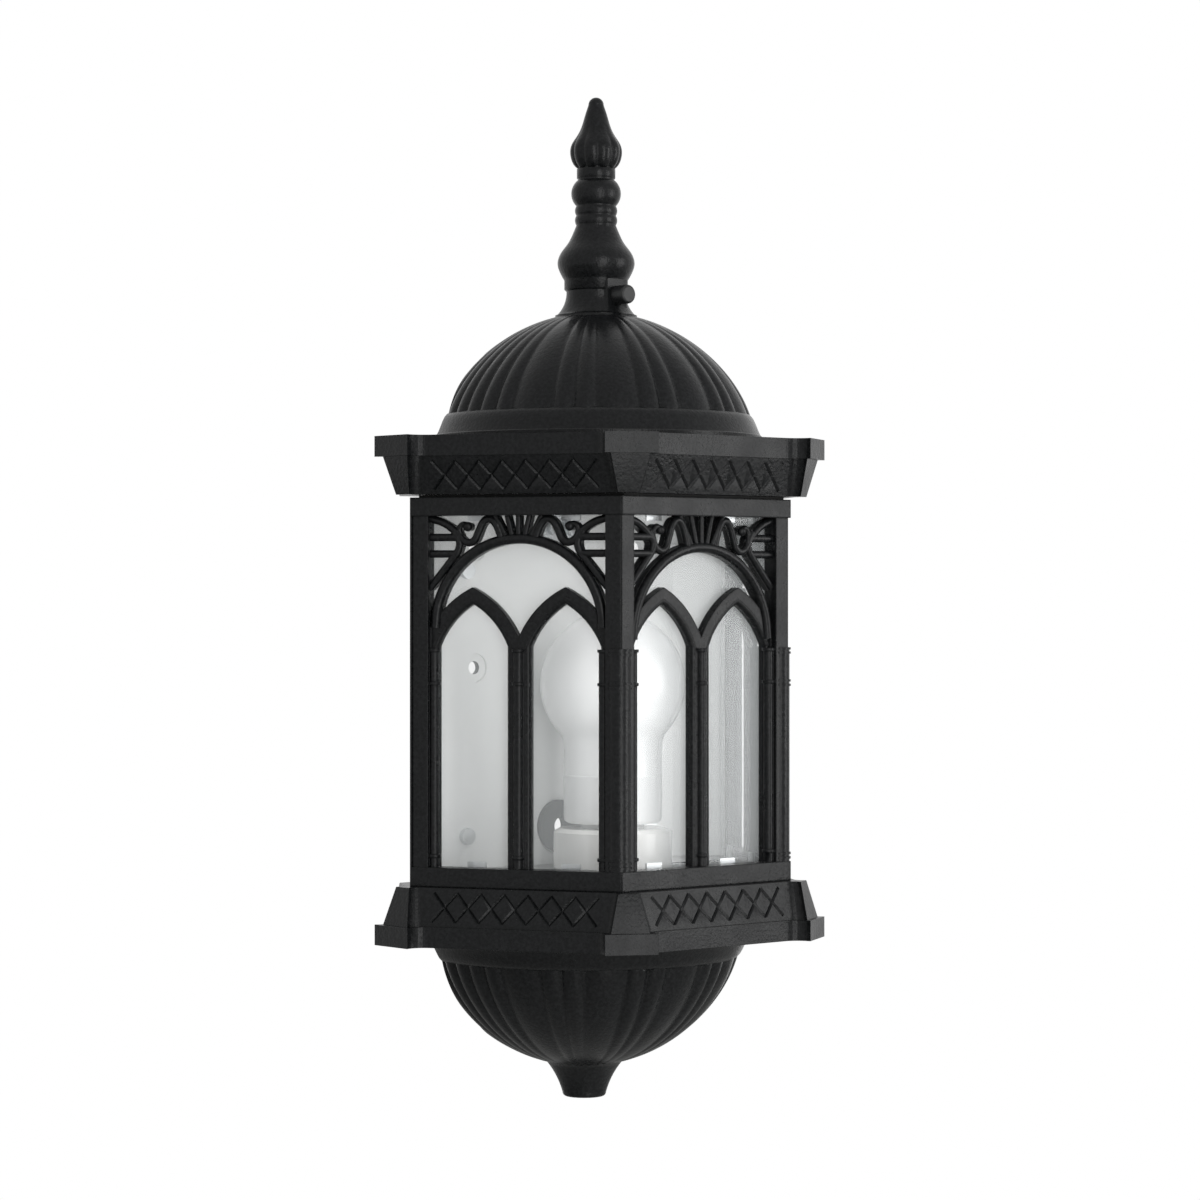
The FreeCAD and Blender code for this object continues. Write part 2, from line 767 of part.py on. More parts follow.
def rim_holes(reach, low, high):
    """Return the screw holes through a flange and into the rim that it carries."""
    radius = size("fastener_radius") + size("fastener_play")
    return [Part.makeCylinder(radius, high - low, Vector(x, y, low)) for x, y in rim_spots(reach)]


def rim_access(reach, face, seat):
    """Return the driver's holes from a cornice's seat to its flange, over the screw heads."""
    radius = size("fastener_head_radius") + size("rim_screw_access")
    length = abs(face - seat) + size("seam")
    low = face if seat > face else face - length
    return [Part.makeCylinder(radius, length, Vector(x, y, low)) for x, y in rim_spots(reach)]


def rim_screws(reach, face, upward):
    """Return the screws, heads on the flange's inner face, shanks through it into the rim."""
    length = size("cornice_flange") + size("rim_screw_reach") - size("fastener_play")
    screws = []
    for x, y in rim_spots(reach):
        shank = Part.makeCylinder(size("fastener_radius"), length, Vector(x, y, face),
                                  Vector(0, 0, upward))
        head = Part.makeCylinder(size("fastener_head_radius"), size("fastener_head"),
                                 Vector(x, y, face), Vector(0, 0, -upward))
        screws.append(shank.fuse(head))
    return screws


# Fluted roof and bowl
def lobe_edges():
    """Return the angles between neighbouring lobes, from the front round to the front again."""
    unit = 2 * math.pi / LOBE_UNITS
    ahead = [1]
    for lobe in LOBES_FROM_FRONT:
        ahead.append(ahead[-1] + lobe)
    mirrored = [LOBE_UNITS - edge for edge in reversed(ahead[:-1])]
    return [edge * unit for edge in ahead + mirrored]


def lobed_wire(edges, crest, depth, height):
    """Return a closed outline of round lobes whose tops reach a crest radius."""
    points = []
    for first, last in zip(edges, edges[1:] + [edges[0] + 2 * math.pi]):
        groove = crest - depth
        middle = (first + last) / 2
        points.append((Vector(groove * math.sin(first), -groove * math.cos(first), height),
                       Vector(crest * math.sin(middle), -crest * math.cos(middle), height),
                       Vector(groove * math.sin(last), -groove * math.cos(last), height)))
    return Part.Wire([arc(*lobe) for lobe in points])


def lobed_solid(radius_at, heights, depth, reach):
    """Loft lobed outlines through a run of heights."""
    edges = lobe_edges()
    full = radius_at(heights[0])
    wires = []
    for height in heights:
        radius = radius_at(height)
        wires.append(lobed_wire(edges, radius, depth * radius / full, height))
    shape = Part.makeLoft(wires, True, False)
    shape.translate(Vector(0, -reach, 0))
    return shape


def spaced(first, last, count):
    """Return heights that crowd towards the last one, where the form turns fastest."""
    steps = [math.sin(math.pi / 2 * i / (count - 1)) for i in range(count)]
    return [first + (last - first) * step for step in steps]


def fluted_shell(reach, radius_at, seat, band, crown, ceiling):
    """Return the lobes and the flared band of a half dome or bowl, and the hollow inside them."""
    upward = 1 if crown > seat else -1
    wall = size("dome_wall")
    depth = size("lobe_depth")
    heights = spaced(band - upward * size("cast_lap"), crown, ROOF_SECTIONS)
    lobes = lobed_solid(radius_at, heights, depth, reach)
    edge = size("roof_band_radius")
    lip = seat + upward * size("band_lip")
    shoulder = radius_at(band) - depth - size("seam")
    bend = Vector((edge + shoulder) / 2 - size("band_cove"), 0, (lip + band) / 2)
    points = profile((0, seat), (edge, seat), (edge, lip), (shoulder, band), (0, band))
    flare = turned([line(points[0], points[1]), line(points[1], points[2]),
                    arc(points[2], bend, points[3]), line(points[3], points[4]),
                    line(points[4], points[0])], reach)
    bore = size("roof_rim_bore")
    half_way = (band + ceiling) / 2
    points = profile((0, seat), (bore, seat), (bore, band), (radius_at(half_way) - wall, half_way),
                     (radius_at(ceiling + upward * wall) - wall, ceiling), (0, ceiling))
    hollow = turned(chain(points), reach).cut(behind(wall))
    return lobes, flare, hollow


def roof_dome():
    """Fluted half dome with its flared band, its neck and the lug of the thumbscrew."""
    reach = size("roof_reach")
    foot = size("roof_seat") + size("frieze_height") + size("cornice_band")
    rise = size("dome_rise")
    base = size("neck_foot") - rise
    ceiling = base + size("hollow_share") * rise

    def radius_at(height):
        share = max(height - base, 0) / (rise + size("dome_crown"))
        return size("dome_radius") * math.sqrt(1 - share ** size("dome_power"))

    lobes, flare, hollow = fluted_shell(reach, radius_at, foot, foot + size("roof_band"),
                                        size("neck_foot"), ceiling)
    neck_radius = size("neck_foot_radius")
    lip_radius = neck_radius + size("neck_lip")
    low = size("neck_foot") - size("neck_lip_height") / 2
    lip_top = low + size("neck_lip_height")
    high = size("neck_top")
    points = profile((0, low), (lip_radius, low), (lip_radius, lip_top), (neck_radius, lip_top),
                     (size("neck_top_radius"), high), (0, high))
    waist = Vector(size("neck_waist_radius"), 0, (high + lip_top) / 2)
    neck = turned([line(points[0], points[1]), line(points[1], points[2]), line(points[2], points[3]),
                   arc(points[3], waist, points[4]), line(points[4], points[5]),
                   line(points[5], points[0])], reach)
    shape = lobes.multiFuse([flare, neck, lug_block(size("lug_bottom"), high)])
    bore = Part.makeCylinder(size("post_radius") + size("post_clearance"), 2 * (high - ceiling),
                             Vector(0, -reach, ceiling - size("dome_wall")))
    screw = Part.makeCylinder(size("screw_radius") + size("screw_clearance"), 2 * size("lug_reach"),
                              Vector(0, -reach, size("screw_height")), Vector(0, -1, 0))
    spot_face = Part.makeCylinder(size("screw_head_radius") + size("post_clearance"), size("lug_reach"),
                                  Vector(0, -reach - size("lug_reach"), size("screw_height")),
                                  Vector(0, -1, 0))
    shape = shape.cut(hollow).cut(bore.fuse(screw)).cut(spot_face)
    for hole in rim_holes(reach, foot - size("cast_lap"), foot + size("rim_screw_reach")):
        shape = shape.cut(hole)
    return in_front_of_wall(shape)


def lug_block(low, high):
    """Return the flat-faced lug in front of the roof's axis, between two heights."""
    width = size("lug_width")
    reach = size("lug_reach")
    corner = Vector(-width / 2, -size("roof_reach") - reach, low)
    return Part.makeBox(width, reach, high - low, corner)


def thumbscrew():
    """Smooth round-ended thumbscrew along -Y, its tip just clear of the post."""
    reach = size("roof_reach")
    shank_length = size("lug_reach") - size("post_radius") - size("post_clearance")
    head = size("screw_head_length")
    radius = size("screw_head_radius")
    start = shank_length + size("seam")
    edge = size("screw_edge")
    points = profile((0, 0), (size("screw_radius"), 0), (size("screw_radius"), start),
                     (radius, start), (radius, start + head - edge), (radius - edge, start + head),
                     (0, start + head))
    edges = [line(points[i], points[i + 1]) for i in range(4)]
    bulge = Vector(radius - ROUND_INSET * edge, 0, start + head - ROUND_INSET * edge)
    edges += [arc(points[4], bulge, points[5]), line(points[5], points[6]), line(points[6], points[0])]
    shape = Part.Face(Part.Wire(edges)).revolve(Vector(), Vector(0, 0, 1), 360)
    tip = -reach - size("post_radius") - size("post_clearance")
    return solid("thumbscrew", shape,
                 FreeCAD.Placement(Vector(0, tip, size("screw_height")), OUT_OF_WALL))


def finial():
    """Turned finial from the neck up: collar, vase, two rings, ball, collar and lobed bud."""
    reach = size("roof_reach")
    level = size("neck_top")
    collar_top = level + size("collar_height")
    vase_top = level + size("vase_height")
    rings_top = vase_top + 2 * size("ring_height")
    ball_top = rings_top + size("ball_height")
    bud_foot = ball_top + size("bud_collar_height")
    ring = size("ring_radius")
    groove = ring - size("ring_groove")
    collar = size("collar_radius")
    edge = size("collar_edge")
    points = profile((0, level), (collar - edge, level), (collar, level + edge), (collar, collar_top))
    edges = [line(points[i], points[i + 1]) for i in range(3)]
    vase = [(collar, collar_top)]
    swell = size("vase_radius") - groove
    for up, out in VASE_RUN:
        vase.append((groove + out * swell, collar_top + up * (vase_top - collar_top)))
    vase.append((groove, vase_top))
    edges.append(curve(profile(*vase)))
    corner = Vector(groove, 0, vase_top)
    for base in (vase_top, vase_top + size("ring_height")):
        middle = Vector(ring, 0, base + size("ring_height") / 2)
        top = Vector(groove, 0, base + size("ring_height"))
        edges.append(arc(corner, middle, top))
        corner = top
    bud_collar = size("bud_collar_radius")
    bevel = size("ring_groove")
    ball_end = Vector(bud_collar - bevel, 0, ball_top)
    edges.append(arc(corner, Vector(size("ball_radius"), 0, (rings_top + ball_top) / 2), ball_end))
    points = [ball_end] + profile((bud_collar, ball_top + bevel), (bud_collar, bud_foot - bevel),
                                  (bud_collar - bevel, bud_foot), (0, bud_foot), (0, level))
    edges += [line(points[i], points[i + 1]) for i in range(5)]
    shape = turned(edges, reach)

    tip = size("bud_tip_radius")
    bud = size("bud_radius")
    height = size("bud_height")
    lobe_turns = [2 * math.pi * i / BUD_LOBES for i in range(BUD_LOBES)]
    wires = []
    for up, out, deep in BUD_RUN + [(1 - tip / height, tip / bud, 0)]:
        wires.append(lobed_wire(lobe_turns, bud * out, size("bud_lobe") * out * deep,
                                bud_foot - size("cast_lap") + up * height))
    petals = Part.makeLoft(wires, True, False)
    petals.translate(Vector(0, -reach, 0))
    point = Part.makeSphere(tip, Vector(0, -reach, bud_foot - size("cast_lap") + height - tip))
    shape = shape.multiFuse([petals, point, lug_block(level, size("lug_top"))])
    bore = Part.makeCylinder(size("post_radius") + size("post_clearance"), 2 * size("cast_lap"),
                             Vector(0, -reach, level - size("cast_lap")))
    return shape.cut(bore)


def bowl():
    """Fluted half bowl with its flared band and its round spout."""
    reach = size("bowl_reach")
    rim = size("body_bottom") - size("frieze_height") - size("cornice_band")
    drop = size("bowl_drop")
    base = size("spout_top") + drop - size("dome_crown")
    floor = base - size("hollow_share") * drop

    def radius_at(height):
        share = max(base - height, 0) / drop
        return size("bowl_radius") * math.sqrt(1 - share ** size("bowl_power"))

    lobes, flare, hollow = fluted_shell(reach, radius_at, rim, rim - size("bowl_band"),
                                        size("spout_top"), floor)
    top = size("spout_top") + size("neck_lip_height") / 2
    low = size("spout_bottom")
    end = size("spout_end_radius")
    round_edge = size("spout_edge")
    points = profile((0, top), (size("spout_top_radius"), top), (end, low + round_edge),
                     (end - round_edge, low), (0, low))
    waist = Vector(size("spout_waist_radius"), 0, (top + low) / 2)
    heel = Vector(end - ROUND_INSET * round_edge, 0, low + ROUND_INSET * round_edge)
    spout = turned([line(points[0], points[1]), arc(points[1], waist, points[2]),
                    arc(points[2], heel, points[3]), line(points[3], points[4]),
                    line(points[4], points[0])], reach)
    shape = lobes.multiFuse([flare, spout]).cut(hollow)
    for hole in rim_holes(reach, rim - size("rim_screw_reach"), rim + size("cast_lap")):
        shape = shape.cut(hole)
    return in_front_of_wall(shape)


def rim_opening(shape, back_wall, reach, face, seat):
    """Cut the round opening and the screw holes of a cornice through its flange."""
    flange = size("cornice_flange")
    low = min(face, face + flange if face > seat else face - flange) - size("seam")
    thickness = flange + 2 * size("seam")
    opening = Part.makeCylinder(size("roof_rim_bore"), thickness, Vector(0, -reach, low))
    shape = shape.cut(opening.cut(back_wall))
    for hole in rim_holes(reach, low, low + thickness) + rim_access(reach, face, seat):
        shape = shape.cut(hole)
    return shape


def upper_cornice():
    """Cornice of the roof, its flange on top under the dome."""
    seat = size("roof_seat")
    shape, far, back_wall = cornice(seat, 1, size("cornice_bore"))
    return rim_opening(shape, back_wall, size("roof_reach"), far - size("cornice_flange"), seat)


def lower_cornice():
    """Cornice under the panels, its flange at the bottom over the bowl."""
    seat = size("body_bottom")
    shape, far, back_wall = cornice(seat, -1, size("lower_bore"))
    return rim_opening(shape, back_wall, size("bowl_reach"), far + size("cornice_flange"), seat)


def roof_gasket():
    """Rubber strip on top of the panels."""
    low = size("body_top")
    height = size("roof_seat") - low - size("seam")
    outer = size("front_reach") - size("core_reach") - size("gasket_inset")
    ring = hexagon(outer, low, height).cut(hexagon(outer - size("gasket_width"), low, height))
    return ring.cut(behind(corner_y))


def bulb():
    """Globe lamp: round globe, white tapered collar and screw cap in one sealed solid."""
    centre = size("bulb_height")
    globe = size("bulb_radius")
    collar = size("bulb_collar_radius")
    collar_low = size("holder_top") + size("bulb_collar_gap")
    collar_top = collar_low + size("bulb_collar_height")
    cap = size("bulb_cap_radius")
    cap_low = collar_low - size("bulb_cap_length")
    turn = math.radians(size("bulb_neck_turn"))
    neck_top = Vector(globe * math.sin(turn), 0, centre - globe * math.cos(turn))
    neck_end = Vector(collar, 0, collar_top)
    neck_waist = (neck_top + neck_end) * 0.5 - Vector(size("collar_edge"), 0, 0)
    edges = [arc(Vector(0, 0, centre + globe), Vector(globe, 0, centre), neck_top)]
    edges.append(arc(neck_top, neck_waist, neck_end))
    points = [neck_end] + profile((collar - size("bulb_collar_taper"), collar_low), (cap, collar_low),
                                  (cap, cap_low), (0, cap_low), (0, centre + globe))
    edges += [line(points[i], points[i + 1]) for i in range(5)]
    return turned(edges, size("lamp_reach"))


def lamp_holder():
    """White cup of the screw lamp holder, its stem through the bracket and the floor."""
    top = size("holder_top")
    seat = size("body_bottom") + size("floor_gauge") + size("lamp_bracket_gauge")
    low = seat - size("holder_stem")
    radius = size("holder_radius")
    edge = size("holder_edge")
    stem = size("holder_stem_radius")
    socket = size("bulb_cap_radius") + size("socket_play")
    floor = top - size("holder_socket_depth")
    points = profile((0, low), (stem, low), (stem, seat), (radius - edge, seat), (radius, seat + edge),
                     (radius, top - edge), (radius - size("holder_rim"), top), (socket, top),
                     (socket, floor), (0, floor))
    return turned(chain(points), size("lamp_reach"))


# Build the document
node("back_housing", back_housing())

grommet_body = rod("grommet_body", "cable_hole_radius - seam", "housing_wall + grommet_flange",
                   ("0", "0", "cable_height"), OUT_OF_WALL)
grommet_flange = rod("grommet_flange", "grommet_flange_radius", "grommet_flange",
                     ("0", "-housing_wall", "cable_height"), OUT_OF_WALL)
grommet_bore = rod("grommet_bore", "cable_bore_radius", "4 * grommet_flange",
                   ("0", "grommet_flange", "cable_height"), OUT_OF_WALL)
node("cable_grommet", cut("cable_grommet", fuse("grommet_solid", [grommet_body, grommet_flange]),
                          [grommet_bore]))

reflector_holes = [rod("reflector_cable_hole", "grommet_flange_radius + liner_rim", "4 * housing_wall",
                       ("0", "0", "cable_height"), OUT_OF_WALL)]
for across in ("-", ""):
    for up in ("-", ""):
        reflector_holes.append(rod("access_hole", "bolt_access_radius", "4 * housing_wall",
                                   (across + "bolt_spacing_x / 2", "0", up + "bolt_spacing_z / 2"),
                                   OUT_OF_WALL))
for name, across, up in REFLECTOR_SCREWS:
    reflector_holes.append(rod("sheet_hole", "fastener_radius + fastener_play", "4 * housing_wall",
                               (across, "0", up), OUT_OF_WALL))
node("reflector", cut("reflector", solid("liner_sheet", liner()), reflector_holes))
node("reflector_screws", group("reflector_screws", [
    wall_screw(name, across, "housing_wall + liner_gauge", up)
    for name, across, up in REFLECTOR_SCREWS]))

clips = []
front_shape = tracery_panel(size("front_width"), size("front_arch_top"))
side_shape = tracery_panel(size("side_width"), size("side_arch_top"))
for side_name, (width, placement) in PANELS.items():
    panel_shape = front_shape if side_name == "front" else side_shape
    node(side_name + "_panel", solid(side_name + "_panel", panel_shape, placement))
    node(side_name + "_glass", pane(side_name + "_glass", size(width), placement))
    for across in (-size("clip_inset"), size("clip_inset")):
        glass_top = size("body_top") - size("top_band") + size("glass_lap")
        glass_foot = size("body_bottom") + size("bottom_rail") - size("glass_lap")
        clips.append(glass_clip(across, glass_top, -1, placement))
        clips.append(glass_clip(across, glass_foot, 1, placement))
node("glass_clips", group("glass_clips", clips))

node("lower_cornice", solid("lower_cornice", lower_cornice()))
node("bowl", solid("bowl", bowl()))
bowl_face = size("body_bottom") - size("frieze_height") - size("cornice_band") + size("cornice_flange")
node("bowl_screws", solid("bowl_screws", Part.makeCompound(
    rim_screws(size("bowl_reach"), bowl_face, -1))))

floor_shape = hexagon(size("floor_apothem"), size("body_bottom"), size("floor_gauge"))
floor_plate = solid("floor_plate", floor_shape.cut(behind(corner_y)))
stem_hole = rod("stem_hole", "holder_stem_radius + fastener_play", "4 * holder_stem",
                ("0", "-lamp_reach", "body_bottom - 2 * holder_stem"))
LAMP_SCREW_X = "(lamp_bracket_width / 2 - lamp_screw_inset)"
LAMP_SCREW_Y = "-lamp_reach - lamp_screw_ahead"
floor_screw_holes = []
for across in ("-", ""):
    floor_screw_holes.append(rod("floor_screw_hole", "fastener_radius + fastener_play", "4 * fastener_head",
                                 (across + LAMP_SCREW_X, LAMP_SCREW_Y,
                                  "body_bottom - 2 * fastener_head")))
node("floor_tray", cut("floor_tray", floor_plate, [stem_hole] + floor_screw_holes))

bracket_level = "body_bottom + floor_gauge"
strip = box("bracket_plate", ("lamp_bracket_width", "lamp_bracket_length", "lamp_bracket_gauge"),
            ("-lamp_bracket_width / 2", "-lamp_reach - lamp_bracket_length / 2", bracket_level))
tab = box("bracket_tab", ("lamp_bracket_gauge", "lamp_tab_width", "lamp_tab_height"),
          ("lamp_bracket_width / 2 - lamp_bracket_gauge", "-lamp_reach - lamp_tab_width / 2",
           bracket_level))
bracket_tools = [rod("bracket_stem_hole", "holder_stem_radius + fastener_play", "4 * holder_stem",
                     ("0", "-lamp_reach", "body_bottom - 2 * holder_stem"))]
for across in ("-", ""):
    bracket_tools.append(rod("bracket_screw_hole", "fastener_radius + fastener_play",
                             "4 * fastener_head", (across + LAMP_SCREW_X, LAMP_SCREW_Y,
                                                   bracket_level + " - fastener_head")))
node("lamp_bracket", cut("lamp_bracket", fuse("bracket_strip", [strip, tab]), bracket_tools))

bracket_screws = []
for across in ("-", ""):
    spot = (across + LAMP_SCREW_X, LAMP_SCREW_Y)
    seat = bracket_level + " + lamp_bracket_gauge"
    shank = rod("bracket_shank", "fastener_radius", "lamp_screw_length",
                spot + (seat + " - lamp_screw_length",))
    head = rod("bracket_head", "lamp_screw_head_radius", "fastener_head", spot + (seat,))
    bracket_screws.append(fuse("bracket_screw", [shank, head]))
node("bracket_screws", group("bracket_screws", bracket_screws))

node("lamp_holder", solid("lamp_holder", lamp_holder()))
node("bulb", solid("bulb", bulb()))
node("terminal_block", box("terminal_block", ("terminal_width", "terminal_depth", "terminal_height"),
                           ("-terminal_width / 2",
                            "-lamp_reach - holder_stem_radius - terminal_depth - terminal_gap",
                            "body_bottom - terminal_height")))

strip_top = "body_top - housing_wall"
leg = box("strip_leg", ("strip_width", "strip_gauge", "strip_drop"),
          ("-strip_width / 2", "-housing_wall - strip_gauge", strip_top + " - strip_drop"))
arm = box("strip_arm", ("strip_width", "roof_reach + 2 * post_radius - housing_wall", "strip_gauge"),
          ("-strip_width / 2", "-roof_reach - 2 * post_radius", strip_top + " - strip_gauge"))
post = rod("post_rod", "post_radius", "post_top - (" + strip_top + " - strip_gauge)",
           ("0", "-roof_reach", strip_top + " - strip_gauge"))
strip_holes = [rod("strip_hole", "fastener_radius + fastener_play", "4 * strip_gauge",
                   (across, "0", up), OUT_OF_WALL) for name, across, up in STRIP_SCREWS]
node("roof_post", cut("roof_post", fuse("post_and_strip", [leg, arm, post]), strip_holes))
node("post_screws", group("post_screws", [
    wall_screw(name, across, "housing_wall + strip_gauge", up) for name, across, up in STRIP_SCREWS]))
node("roof_gasket", solid("roof_gasket", roof_gasket()))

node("upper_cornice", solid("upper_cornice", upper_cornice()))
node("roof_dome", solid("roof_dome", roof_dome()))
roof_face = size("roof_seat") + size("frieze_height") + size("cornice_band") - size("cornice_flange")
node("roof_screws", solid("roof_screws", Part.makeCompound(
    rim_screws(size("roof_reach"), roof_face, 1))))
node("finial", solid("finial", finial()))
node("thumbscrew", thumbscrew())

doc.recompute()

# Check the whole document before anything is written
for obj in doc.Objects:
    if "Invalid" in obj.State or "Error" in obj.State:
        raise RuntimeError("failed object: " + obj.Label)
for obj in nodes:
    if obj.Shape.isNull() or not obj.Shape.isValid():
        raise RuntimeError("bad shape: " + obj.Label)

os.makedirs("parts", exist_ok=True)
for obj in nodes:
    obj.Shape.exportStep("parts/%s.step" % obj.Label)
    print(obj.Label, len(obj.Shape.Solids), "solids", round(obj.Shape.Volume), "mm3")
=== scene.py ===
"""Half-hexagon wall lantern in black powder-coated aluminium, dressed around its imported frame.

Metres. The wall stands at Y = 0 and the lantern reaches out from it towards -Y, with +Z up.
"""
import logging
import math
from dataclasses import dataclass, field
from enum import Enum
from typing import Any

import bmesh
import bpy
from mathutils import Matrix, Vector


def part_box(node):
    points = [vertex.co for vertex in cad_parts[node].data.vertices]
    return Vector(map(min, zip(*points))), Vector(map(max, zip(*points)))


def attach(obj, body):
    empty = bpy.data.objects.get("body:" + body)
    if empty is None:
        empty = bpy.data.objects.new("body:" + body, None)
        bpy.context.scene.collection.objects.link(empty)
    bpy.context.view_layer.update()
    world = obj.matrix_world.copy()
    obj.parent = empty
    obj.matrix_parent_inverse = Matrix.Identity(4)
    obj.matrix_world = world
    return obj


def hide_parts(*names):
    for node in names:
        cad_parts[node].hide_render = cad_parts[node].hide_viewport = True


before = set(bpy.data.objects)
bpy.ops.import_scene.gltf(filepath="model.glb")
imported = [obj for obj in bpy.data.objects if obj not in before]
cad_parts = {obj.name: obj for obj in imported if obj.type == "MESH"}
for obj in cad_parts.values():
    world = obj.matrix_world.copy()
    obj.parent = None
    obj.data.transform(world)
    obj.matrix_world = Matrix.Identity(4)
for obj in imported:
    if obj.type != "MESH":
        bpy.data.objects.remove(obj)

LOG = logging.getLogger("wall_lantern")
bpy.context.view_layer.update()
MM = 0.001

# Corners of the frame's loose triangles closer than this are one corner
MERGE_DISTANCE = 0.002 * MM
# Neighbouring faces that turn less than this are one flat face
FLAT_ANGLE = math.radians(0.4)
# Edges that turn more than this are shaded as edges
SHARP_ANGLE = math.radians(38)
# The same for shapes with shallow grooves in flat faces
GROOVE_ANGLE = math.radians(6)

# The sRGB curve: end and slope of its straight part, offset and power of the rest
SRGB_KNEE = 0.04045
SRGB_SLOPE = 12.92
SRGB_OFFSET = 0.055
SRGB_POWER = 2.4

Points = tuple[tuple[float, float], ...]


class Slot(Enum):
    """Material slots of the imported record."""

    CASTING = "black_casting"
    SCREW = "black_screw"
    GLASS = "clear_glass"
    SHEET = "white_sheet"
    STEEL = "plated_steel"
    RUBBER = "black_rubber"
    CERAMIC = "white_ceramic"
    LAMP = "opal_lamp"


class Body(Enum):
    """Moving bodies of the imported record."""

    LANTERN = "lantern"
    ROOF = "roof"
    THUMBSCREW = "thumbscrew"


def linear(hex_colour: str) -> tuple[float, float, float, float]:
    """Turn an sRGB hex colour into linear RGBA.

    Args:
        hex_colour: Colour as "#RRGGBB".

    Returns:
        Linear red, green and blue with an alpha of one.
    """
    channels = [int(hex_colour[i:i + 2], 16) / 255 for i in (1, 3, 5)]
    red, green, blue = [
        c / SRGB_SLOPE if c <= SRGB_KNEE else ((c + SRGB_OFFSET) / (1 + SRGB_OFFSET)) ** SRGB_POWER
        for c in channels]
    return red, green, blue, 1.0


def from_mm(points: Points) -> Points:
    """Turn flat points from millimetres into metres.

    Args:
        points: Two coordinates of each point.

    Returns:
        The same points in metres.
    """
    return tuple((first * MM, second * MM) for first, second in points)


def add_node(tree: bpy.types.NodeTree, kind: str, settings: dict[str, Any] | None = None,
             values: dict[str | int, Any] | None = None,
             links: dict[str | int, bpy.types.NodeSocket] | None = None) -> bpy.types.Node:
    """Add a node with its settings, constant inputs and links.

    Args:
        tree: Node tree that gets the node.
        kind: Node type identifier.
        settings: Attributes of the node.
        values: Constant values by input socket.
        links: Output sockets by the input socket that they feed.

    Returns:
        The new node.
    """
    made = tree.nodes.new(kind)
    for name, value in (settings or {}).items():
        setattr(made, name, value)
    for name, value in (values or {}).items():
        made.inputs[name].default_value = value
    for name, output in (links or {}).items():
        tree.links.new(output, made.inputs[name])
    return made


def blank_material(name: str) -> tuple[bpy.types.Material, bpy.types.NodeTree, bpy.types.Node]:
    """Make a material that holds only a Principled shader.

    Args:
        name: Name of the real material.

    Returns:
        The material, its node tree and its shader.
    """
    material = bpy.data.materials.new(name)
    material.use_nodes = True
    tree = material.node_tree
    return material, tree, tree.nodes["Principled BSDF"]


@dataclass(frozen=True)
class PowderCoat:
    """Polyester powder coat on cast aluminium.

    It reads as a satin black with a fine sandy grain that breaks up each highlight, over the
    soft waves of a sand casting.
    """

    name: str = "powder_coated_aluminium"
    dark: str = "#0C0D0E"
    pale: str = "#1B1C1D"
    roughness: tuple[float, float] = (0.24, 0.34)
    specular: float = 0.15
    grain_mm: float = 1.3
    wave_mm: float = 14.0
    grain_height_mm: float = 0.15
    wave_height_mm: float = 0.12
    # Number of finer layers in each noise, their weight, and the part of its range that is used
    grain_detail: float = 2.0
    wave_detail: float = 3.0
    grain_weight: float = 0.6
    wave_weight: float = 0.5
    grain_range: tuple[float, float] = (0.35, 0.7)
    wave_range: tuple[float, float] = (0.3, 0.7)
    # A thick coat on sharp edges makes them catch the light as narrow rounds; none where zero
    edge_mm: float = 0.0
    edge_samples: int = 6

    def material(self) -> bpy.types.Material:
        """Return the coat's material."""
        material, tree, shader = blank_material(self.name)
        place = add_node(tree, "ShaderNodeTexCoord").outputs["Object"]
        grain = add_node(tree, "ShaderNodeTexNoise", values={
            "Scale": 1 / (self.grain_mm * MM), "Detail": self.grain_detail,
            "Roughness": self.grain_weight}, links={"Vector": place})
        wave = add_node(tree, "ShaderNodeTexNoise", values={
            "Scale": 1 / (self.wave_mm * MM), "Detail": self.wave_detail,
            "Roughness": self.wave_weight}, links={"Vector": place})
        tint = add_node(tree, "ShaderNodeMapRange", values={
            "From Min": self.grain_range[0], "From Max": self.grain_range[1]},
            links={"Value": grain.outputs["Fac"]})
        colour = add_node(tree, "ShaderNodeMix", {"data_type": "RGBA"}, {
            "A": linear(self.dark), "B": linear(self.pale)}, {"Factor": tint.outputs["Result"]})
        gloss = add_node(tree, "ShaderNodeMapRange", values={
            "From Min": self.wave_range[0], "From Max": self.wave_range[1],
            "To Min": self.roughness[0], "To Max": self.roughness[1]},
            links={"Value": wave.outputs["Fac"]})
        cast = add_node(tree, "ShaderNodeBump", values={
            "Strength": 1.0, "Distance": self.wave_height_mm * MM},
            links={"Height": wave.outputs["Fac"]})
        if self.edge_mm:
            edge = add_node(tree, "ShaderNodeBevel", {"samples": self.edge_samples},
                            {"Radius": self.edge_mm * MM})
            tree.links.new(edge.outputs["Normal"], cast.inputs["Normal"])
        bump = add_node(tree, "ShaderNodeBump", values={
            "Strength": 1.0, "Distance": self.grain_height_mm * MM},
            links={"Height": grain.outputs["Fac"], "Normal": cast.outputs["Normal"]})
        shader.inputs["Specular IOR Level"].default_value = self.specular
        tree.links.new(colour.outputs["Result"], shader.inputs["Base Color"])
        tree.links.new(gloss.outputs["Result"], shader.inputs["Roughness"])
        tree.links.new(bump.outputs["Normal"], shader.inputs["Normal"])
        return material


@dataclass(frozen=True)
class FloatGlass:
    """Clear float glass: a faint cool veil and a sharp reflection over what lies behind."""

    name: str = "clear_float_glass"
    tint: str = "#EEF2F3"
    opacity: float = 0.18
    roughness: float = 0.05
    ior: float = 1.52

    def material(self) -> bpy.types.Material:
        """Return the glass material."""
        material, tree, shader = blank_material(self.name)
        shader.inputs["Base Color"].default_value = linear(self.tint)
        shader.inputs["Alpha"].default_value = self.opacity
        shader.inputs["Roughness"].default_value = self.roughness
        shader.inputs["IOR"].default_value = self.ior
        return material


